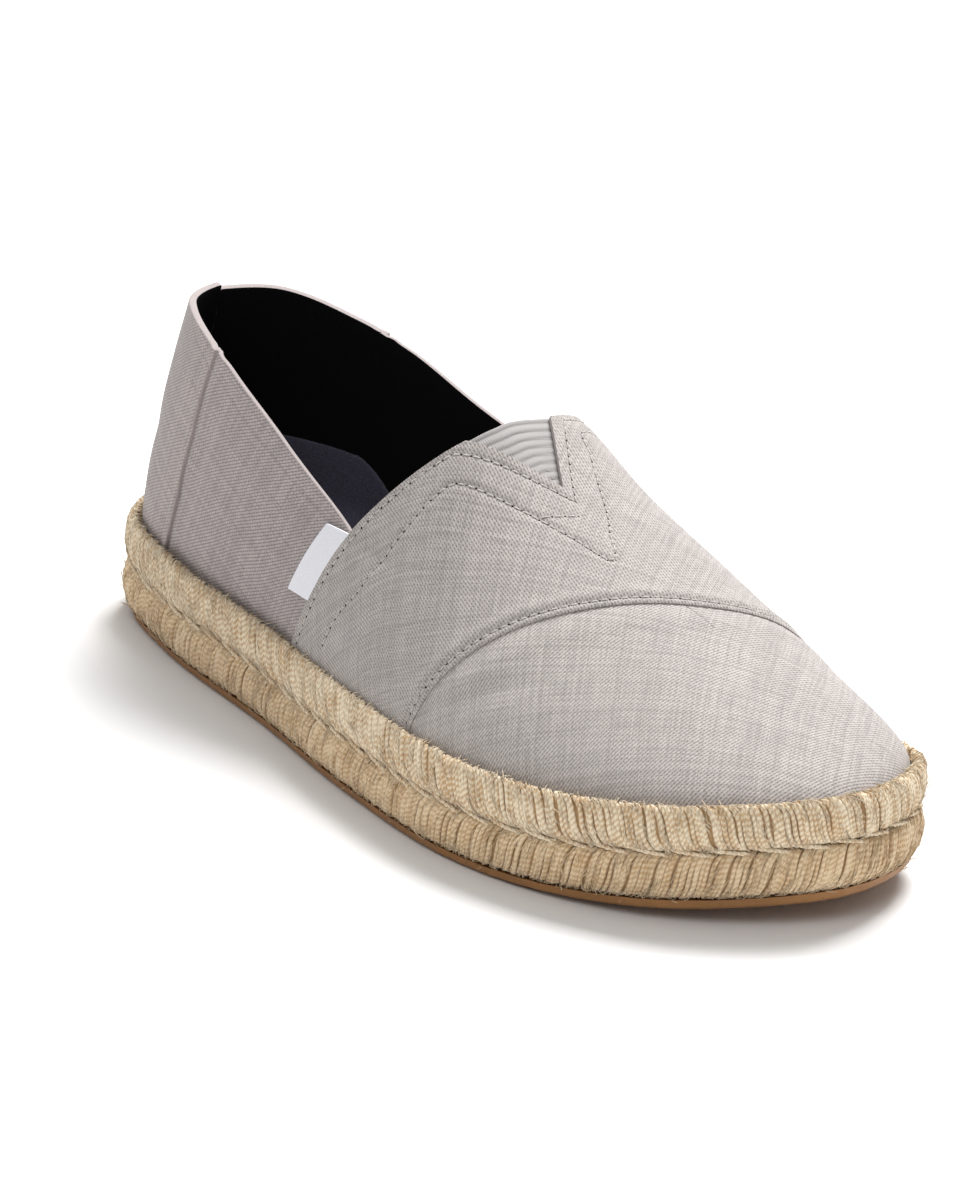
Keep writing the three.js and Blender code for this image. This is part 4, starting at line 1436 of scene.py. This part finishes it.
class RopeMaker:
    """Lays yarns and loose fibres over a flat core to make one rope."""

    yarn_steps = 11
    yarn_sides = 6
    fibre_steps = 6

    def __init__(self, bottom, top, toe_lean, side_lean, seed, rope):
        self.bottom = bottom
        self.top = top
        self.toe_lean = toe_lean
        self.side_lean = side_lean
        self.rope = rope
        self.chance = np.random.default_rng(seed)
        self.bm = bmesh.new()

    def along(self, turn):
        return sole.at(turn, 0)[0][..., 0]

    def lean(self, turn):
        toe = np.clip((self.along(turn) - 130) / 90, 0, 1)
        return self.side_lean + (self.toe_lean - self.side_lean) * toe

    def face(self, turn, share, sink):
        turn, share, sink = np.broadcast_arrays(turn, share, sink)
        return rope_face(turn, share, self.bottom, self.top, sink)

    def add_core(self):
        turns = np.linspace(0, 1, 361)[:, None]
        share = np.linspace(0, 1, 13)[None, :]
        # The core sheet under the yarns shows in their gaps with its darker finish: painted shade.
        grid_mesh(self.bm, self.face(turns, share, 0.72)[0], material=1)

    def add_yarns(self):
        chance = self.chance
        count = int(sole.length / (self.rope.yarn_pitch / MM))
        radius = self.rope.yarn_radius / MM
        n = np.arange(count)
        wander = np.cumsum(chance.normal(0, 0.08, count))
        wander -= np.linspace(wander[0], wander[-1], count)
        bundle = 2 * np.pi * (n / BUNDLE + wander)
        t = np.linspace(0, 1, self.yarn_steps)
        place = (n + 0.3 * np.sin(bundle) + chance.normal(0, 0.16, count)) / count
        curve = t - 0.5 + 0.1 * np.sin(2 * np.pi * t)
        lean = self.lean(place) * (1 + chance.normal(0, 0.1, count))
        bow = chance.normal(0, 0.35, count)
        shift = lean[:, None] * curve + bow[:, None] * np.sin(np.pi * t)
        turn = place[:, None] + shift / sole.length
        ends = chance.normal(0, 0.035, count)[:, None] * t**3
        share = np.clip(t + ends, 0, 1)
        sink = 0.16 - 0.1 * np.cos(bundle) + chance.normal(0, 0.08, count)
        sink = sink + 0.4 * (chance.uniform(0, 1, count) > 0.96)
        path, out = self.face(turn, share, (sink + radius * 0.55)[:, None])
        thick = radius * (1 + chance.normal(0, 0.06, count))[:, None]
        thick = thick * (1 + 0.06 * np.sin(t * 9 + chance.uniform(0, 6, count)[:, None]))
        # Painted shade: yarns that sink between bundles get a darker tone, with some tone at random on top.
        tones = np.clip(0.5 - 0.25 * np.cos(bundle + 2.6) + chance.normal(0, 0.2, count), 0, 1)
        add_strands(self.bm, path, out, thick, self.yarn_sides, tones, twist=0.12)

    def add_fibres(self):
        """Fine fibres that lie over the yarns, thicker along both edges."""
        chance = self.chance
        count = self.rope.fibres
        t = np.linspace(0, 1, self.fibre_steps)
        turn = chance.uniform(0, 1, count)
        edge = chance.uniform(0, 1, count)
        share = np.where(edge < 0.3, chance.normal(0.9, 0.04, count), chance.uniform(0.08, 0.95, count))
        share = np.where(edge > 0.8, chance.normal(0.12, 0.04, count), share)
        reach = chance.uniform(2.5, 6.5, count)
        height = self.top - self.bottom
        slope = self.lean(turn) / height * chance.normal(1, 0.5, count) + chance.normal(0, 0.35, count)
        climb = reach / np.hypot(1, slope) / 16
        way = t - 0.5
        curl = chance.normal(0, 0.5, count)[:, None] * np.sin(np.pi * t)
        turns = turn[:, None] + (slope[:, None] * climb[:, None] * 16 * way + curl) / sole.length
        shares = np.clip(share[:, None] + climb[:, None] * way, 0.02, 0.98)
        arch = chance.uniform(0, 0.35, count)[:, None] * np.sin(np.pi * t)
        proud = chance.uniform(-0.1, 0.2, count)[:, None] + arch
        loose = chance.uniform(0, 1, count) > 0.93
        proud = proud + np.where(loose, chance.uniform(0.8, 2.4, count), 0)[:, None] * t**2
        path, out = self.face(turns, shares, -proud)
        thick = chance.uniform(0.08, 0.17, count)[:, None] + 0 * t
        add_strands(self.bm, path, out, thick, 3, chance.uniform(0.5, 1, count))

    def make(self, name, color, replaces):
        self.add_core()
        self.add_yarns()
        self.add_fibres()
        close_up(self.bm, 0.005)
        finishes = [
            jute(name + "_yarn", color, self.rope.brown, 0.3),
            # The core's finish, with a jute shade darker still: painted shade deep between the yarns.
            jute(name + "_core", self.rope.core, tint(self.rope.core, 0.8)[:3], 0.0),
        ]
        return piece(name, self.bm, finishes, [replaces])


class AddUpperRope(bpy.types.Operator):
    """Wind the upper jute rope over the foot of the canvas"""

    bl_idname = "espadrille.add_upper_rope"
    bl_label = "Upper rope"

    def execute(self, context):
        rope = context.scene.espadrille_rope
        lean = rope.toe_lean / MM
        maker = RopeMaker(UPPER_ROPE_FOOT - 0.2, UPPER_ROPE_TOP + 0.4, -lean, -1.15 * lean, 3, rope)
        maker.make("upper_jute", rope.upper, "upper_rope")
        return {"FINISHED"}


class AddLowerRope(bpy.types.Operator):
    """Wind the lower jute rope on the rubber"""

    bl_idname = "espadrille.add_lower_rope"
    bl_label = "Lower rope"

    def execute(self, context):
        rope = context.scene.espadrille_rope
        lean = rope.toe_lean / MM
        maker = RopeMaker(LOWER_ROPE_FOOT, LOWER_ROPE_TOP + 0.2, 0.85 * lean, 0.75 * lean, 8, rope)
        maker.make("lower_jute", rope.lower, "lower_rope")
        return {"FINISHED"}


class AddRunningStitch(bpy.types.Operator):
    """Run the jute stitch round the groove between the ropes"""

    bl_idname = "espadrille.add_running_stitch"
    bl_label = "Running stitch"

    def execute(self, context):
        rope = context.scene.espadrille_rope
        count = round(sole.length / (rope.stitch_pitch / MM))
        chance = np.random.default_rng(5)
        t = np.linspace(0, 1, 14)
        paths = []
        outs = []
        for ply in (0, 1):
            turn = (np.arange(count)[:, None] + t * 1.08 - 0.04) / count
            tuck = 1.6 * np.abs(2 * t - 1) ** 5
            twist = 2 * np.pi * (t * 3 + ply / 2) + chance.uniform(0, 6, count)[:, None] * 0
            inset = 1.35 + tuck + 0.3 * np.cos(twist)
            place, out = sole.at(turn, inset)
            slant = chance.normal(-1.9, 0.4, count)[:, None] * (t - 0.5)
            middle = (UPPER_ROPE_FOOT + LOWER_ROPE_TOP) / 2 + 0.1
            height = middle + slant + 0.26 * np.sin(twist) + lift(place[..., 0])
            paths.append(np.concatenate([place, height[..., None]], -1))
            outs.append(np.concatenate([out, np.zeros((*out.shape[:-1], 1))], -1))
        bm = bmesh.new()
        paths = np.concatenate(paths)
        outs = np.concatenate(outs)
        add_strands(bm, paths, outs, 0.42, 6, chance.uniform(0.3, 0.9, len(paths)), twist=0.4)
        close_up(bm, 0.005)
        piece("running_stitch", bm, [jute("stitch_yarn", rope.upper, rope.brown, 0.2)])
        return {"FINISHED"}


class AddInsole(bpy.types.Operator):
    """Lay the dark insole sock on the rope sole, cupped up the walls round the heel"""

    bl_idname = "espadrille.add_insole"
    bl_label = "Insole"
    wall_gap = 2.2
    cup = 17.0
    cup_end = 84.0
    wall_rows = 9
    floor_rows = 27

    def execute(self, context):
        cloth = context.scene.espadrille_cloth
        stations = np.linspace(0.012, 0.988, 120)
        climb = np.linspace(1, 0, self.wall_rows)
        walls = {}
        for side in SIDES:
            rows = [self.wall_row(side, stations, share) for share in climb]
            walls[side] = np.stack(rows, 1)
        w = np.linspace(0, 1, self.floor_rows)[None, 1:-1, None]
        low = {side: walls[side][:, -1] for side in SIDES}
        floor = low[OUTER][:, None, :] * (1 - w) + low[INNER][:, None, :] * w
        floor[..., 2] -= 2.2 * (1 - (2 * w[..., 0] - 1) ** 2) ** 0.6
        points = np.concatenate([walls[OUTER], floor, walls[INNER][:, ::-1]], 1)
        for _ in range(3):
            middle = (points[:, :-2] + points[:, 2:]) / 2
            points[:, 1:-1] = (points[:, 1:-1] + middle) / 2
        bm = bmesh.new()
        grid_mesh(bm, points)
        obj = piece("insole_sock", bm, [insole_cloth(cloth.insole)], ["insole"])
        thicken(obj, 1.6, 0.5)
        return {"FINISHED"}

    def wall_row(self, side, stations, share):
        """The line of the insole at a share of its height up one wall."""

        def above(points):
            heel = np.clip((self.cup_end - points[..., 0]) / 40, 0, 1)
            rise = self.cup * heel**2 * (3 - 2 * heel) + 0.8
            return points[..., 2] - (INSOLE_TOP + 1 + rise * share + lift(points[..., 0]))

        level = last.level_where(side, stations, above)
        return last.point(side, stations, level) - last.out(side, stations, level) * self.wall_gap


class FinishOutsole(bpy.types.Operator):
    """Give the outsole its gum rubber finish"""

    bl_idname = "espadrille.finish_outsole"
    bl_label = "Outsole"

    def execute(self, context):
        rope = context.scene.espadrille_rope
        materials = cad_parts["outsole"].data.materials
        materials.clear()
        materials.append(gum_rubber(rope.rubber))
        return {"FINISHED"}


# The studio


CAMERA_PLACE = (1.9073, -1.5946, 0.991)
CAMERA_AIM = (0.0, 0.0, 0.044)
SENSOR_WIDTH = 36
NEAREST_SEEN = 0.05
FLOOR_SIZE = 6
PAPER = (0.92, 0.92, 0.92, 1)
LIGHT_AIM = (0, 0, 0.03)
SOFTBOX_PLACE = (-0.35, 0.85, 1.6)
SOFTBOX_SIZE = 0.9
FILL_PLACE = (0.9, -1.3, 1.9)
FILL_SIZE = 1.2
FILL_SHARE = 0.24


class AddStudio(bpy.types.Operator):
    """Set up the camera, the white floor and the light"""

    bl_idname = "espadrille.add_studio"
    bl_label = "Studio"

    def execute(self, context):
        studio = context.scene.espadrille_studio
        self.add_camera(context, studio)
        self.add_floor(context)
        self.add_lights(context, studio)
        return {"FINISHED"}

    def add_camera(self, context, studio):
        data = bpy.data.cameras.new("photo_camera")
        data.lens = studio.lens
        data.sensor_width = SENSOR_WIDTH
        data.clip_start = NEAREST_SEEN
        camera = bpy.data.objects.new("photo_camera", data)
        context.scene.collection.objects.link(camera)
        camera.location = CAMERA_PLACE
        sight = Vector(CAMERA_AIM) - Vector(CAMERA_PLACE)
        roll = Quaternion((0, 0, 1), studio.roll)
        camera.rotation_mode = "QUATERNION"
        camera.rotation_quaternion = sight.to_track_quat("-Z", "Y") @ roll
        context.scene.camera = camera

    def add_floor(self, context):
        bm = bmesh.new()
        bmesh.ops.create_grid(bm, x_segments=1, y_segments=1, size=FLOOR_SIZE)
        data = bpy.data.meshes.new("floor")
        bm.to_mesh(data)
        bm.free()
        floor = bpy.data.objects.new("floor", data)
        context.scene.collection.objects.link(floor)
        floor.data.materials.append(Graph("white_paper").finish(PAPER, 0.95, 0.05))

    def add_lights(self, context, studio):
        world = bpy.data.worlds.new("studio")
        context.scene.world = world
        world.use_nodes = True
        background = world.node_tree.nodes["Background"]
        background.inputs["Color"].default_value = (1, 1, 1, 1)
        background.inputs["Strength"].default_value = studio.sky
        self.add_softbox(context, "softbox", SOFTBOX_PLACE, SOFTBOX_SIZE, studio.key)
        self.add_softbox(context, "fill_softbox", FILL_PLACE, FILL_SIZE, studio.key * FILL_SHARE)
        context.scene.view_settings.view_transform = "Standard"

    def add_softbox(self, context, name, place, size, power):
        data = bpy.data.lights.new(name, "AREA")
        data.energy = power
        data.size = size
        light = bpy.data.objects.new(name, data)
        context.scene.collection.objects.link(light)
        light.location = place
        light.rotation_mode = "QUATERNION"
        way = Vector(LIGHT_AIM) - light.location
        light.rotation_quaternion = way.to_track_quat("-Z", "Y")


OPERATORS = (
    AddStudio,
    AddQuarters,
    AddHeelPanel,
    AddVamp,
    AddToeCap,
    AddLining,
    AddGore,
    AddLabel,
    AddSeams,
    AddUpperRope,
    AddLowerRope,
    AddRunningStitch,
    AddInsole,
    FinishOutsole,
)


class EspadrillePanel(bpy.types.Panel):
    """The espadrille's pieces and settings"""

    bl_idname = "VIEW3D_PT_espadrille"
    bl_label = "Espadrille"
    bl_space_type = "VIEW_3D"
    bl_region_type = "UI"
    bl_category = "Espadrille"

    def draw(self, context):
        for name, settings in SETTINGS.items():
            box = self.layout.box()
            group = getattr(context.scene, name)
            for setting in settings.__annotations__:
                box.prop(group, setting)
        for operator in OPERATORS:
            self.layout.operator(operator.bl_idname)


CLASSES = (*SETTINGS.values(), *OPERATORS, EspadrillePanel)


def register():
    for made in CLASSES:
        bpy.utils.register_class(made)
    for name, settings in SETTINGS.items():
        setattr(bpy.types.Scene, name, bpy.props.PointerProperty(type=settings))


def unregister():
    for name in SETTINGS:
        delattr(bpy.types.Scene, name)
    for made in reversed(CLASSES):
        bpy.utils.unregister_class(made)


def main():
    register()
    bpy.ops.espadrille.add_studio()
    bpy.ops.espadrille.add_quarters()
    bpy.ops.espadrille.add_heel_panel()
    bpy.ops.espadrille.add_vamp()
    bpy.ops.espadrille.add_toe_cap()
    bpy.ops.espadrille.add_lining()
    bpy.ops.espadrille.add_gore()
    bpy.ops.espadrille.add_label()
    bpy.ops.espadrille.add_seams()
    bpy.ops.espadrille.add_upper_rope()
    bpy.ops.espadrille.add_lower_rope()
    bpy.ops.espadrille.add_running_stitch()
    bpy.ops.espadrille.add_insole()
    bpy.ops.espadrille.finish_outsole()


if __name__ == "__main__":
    main()
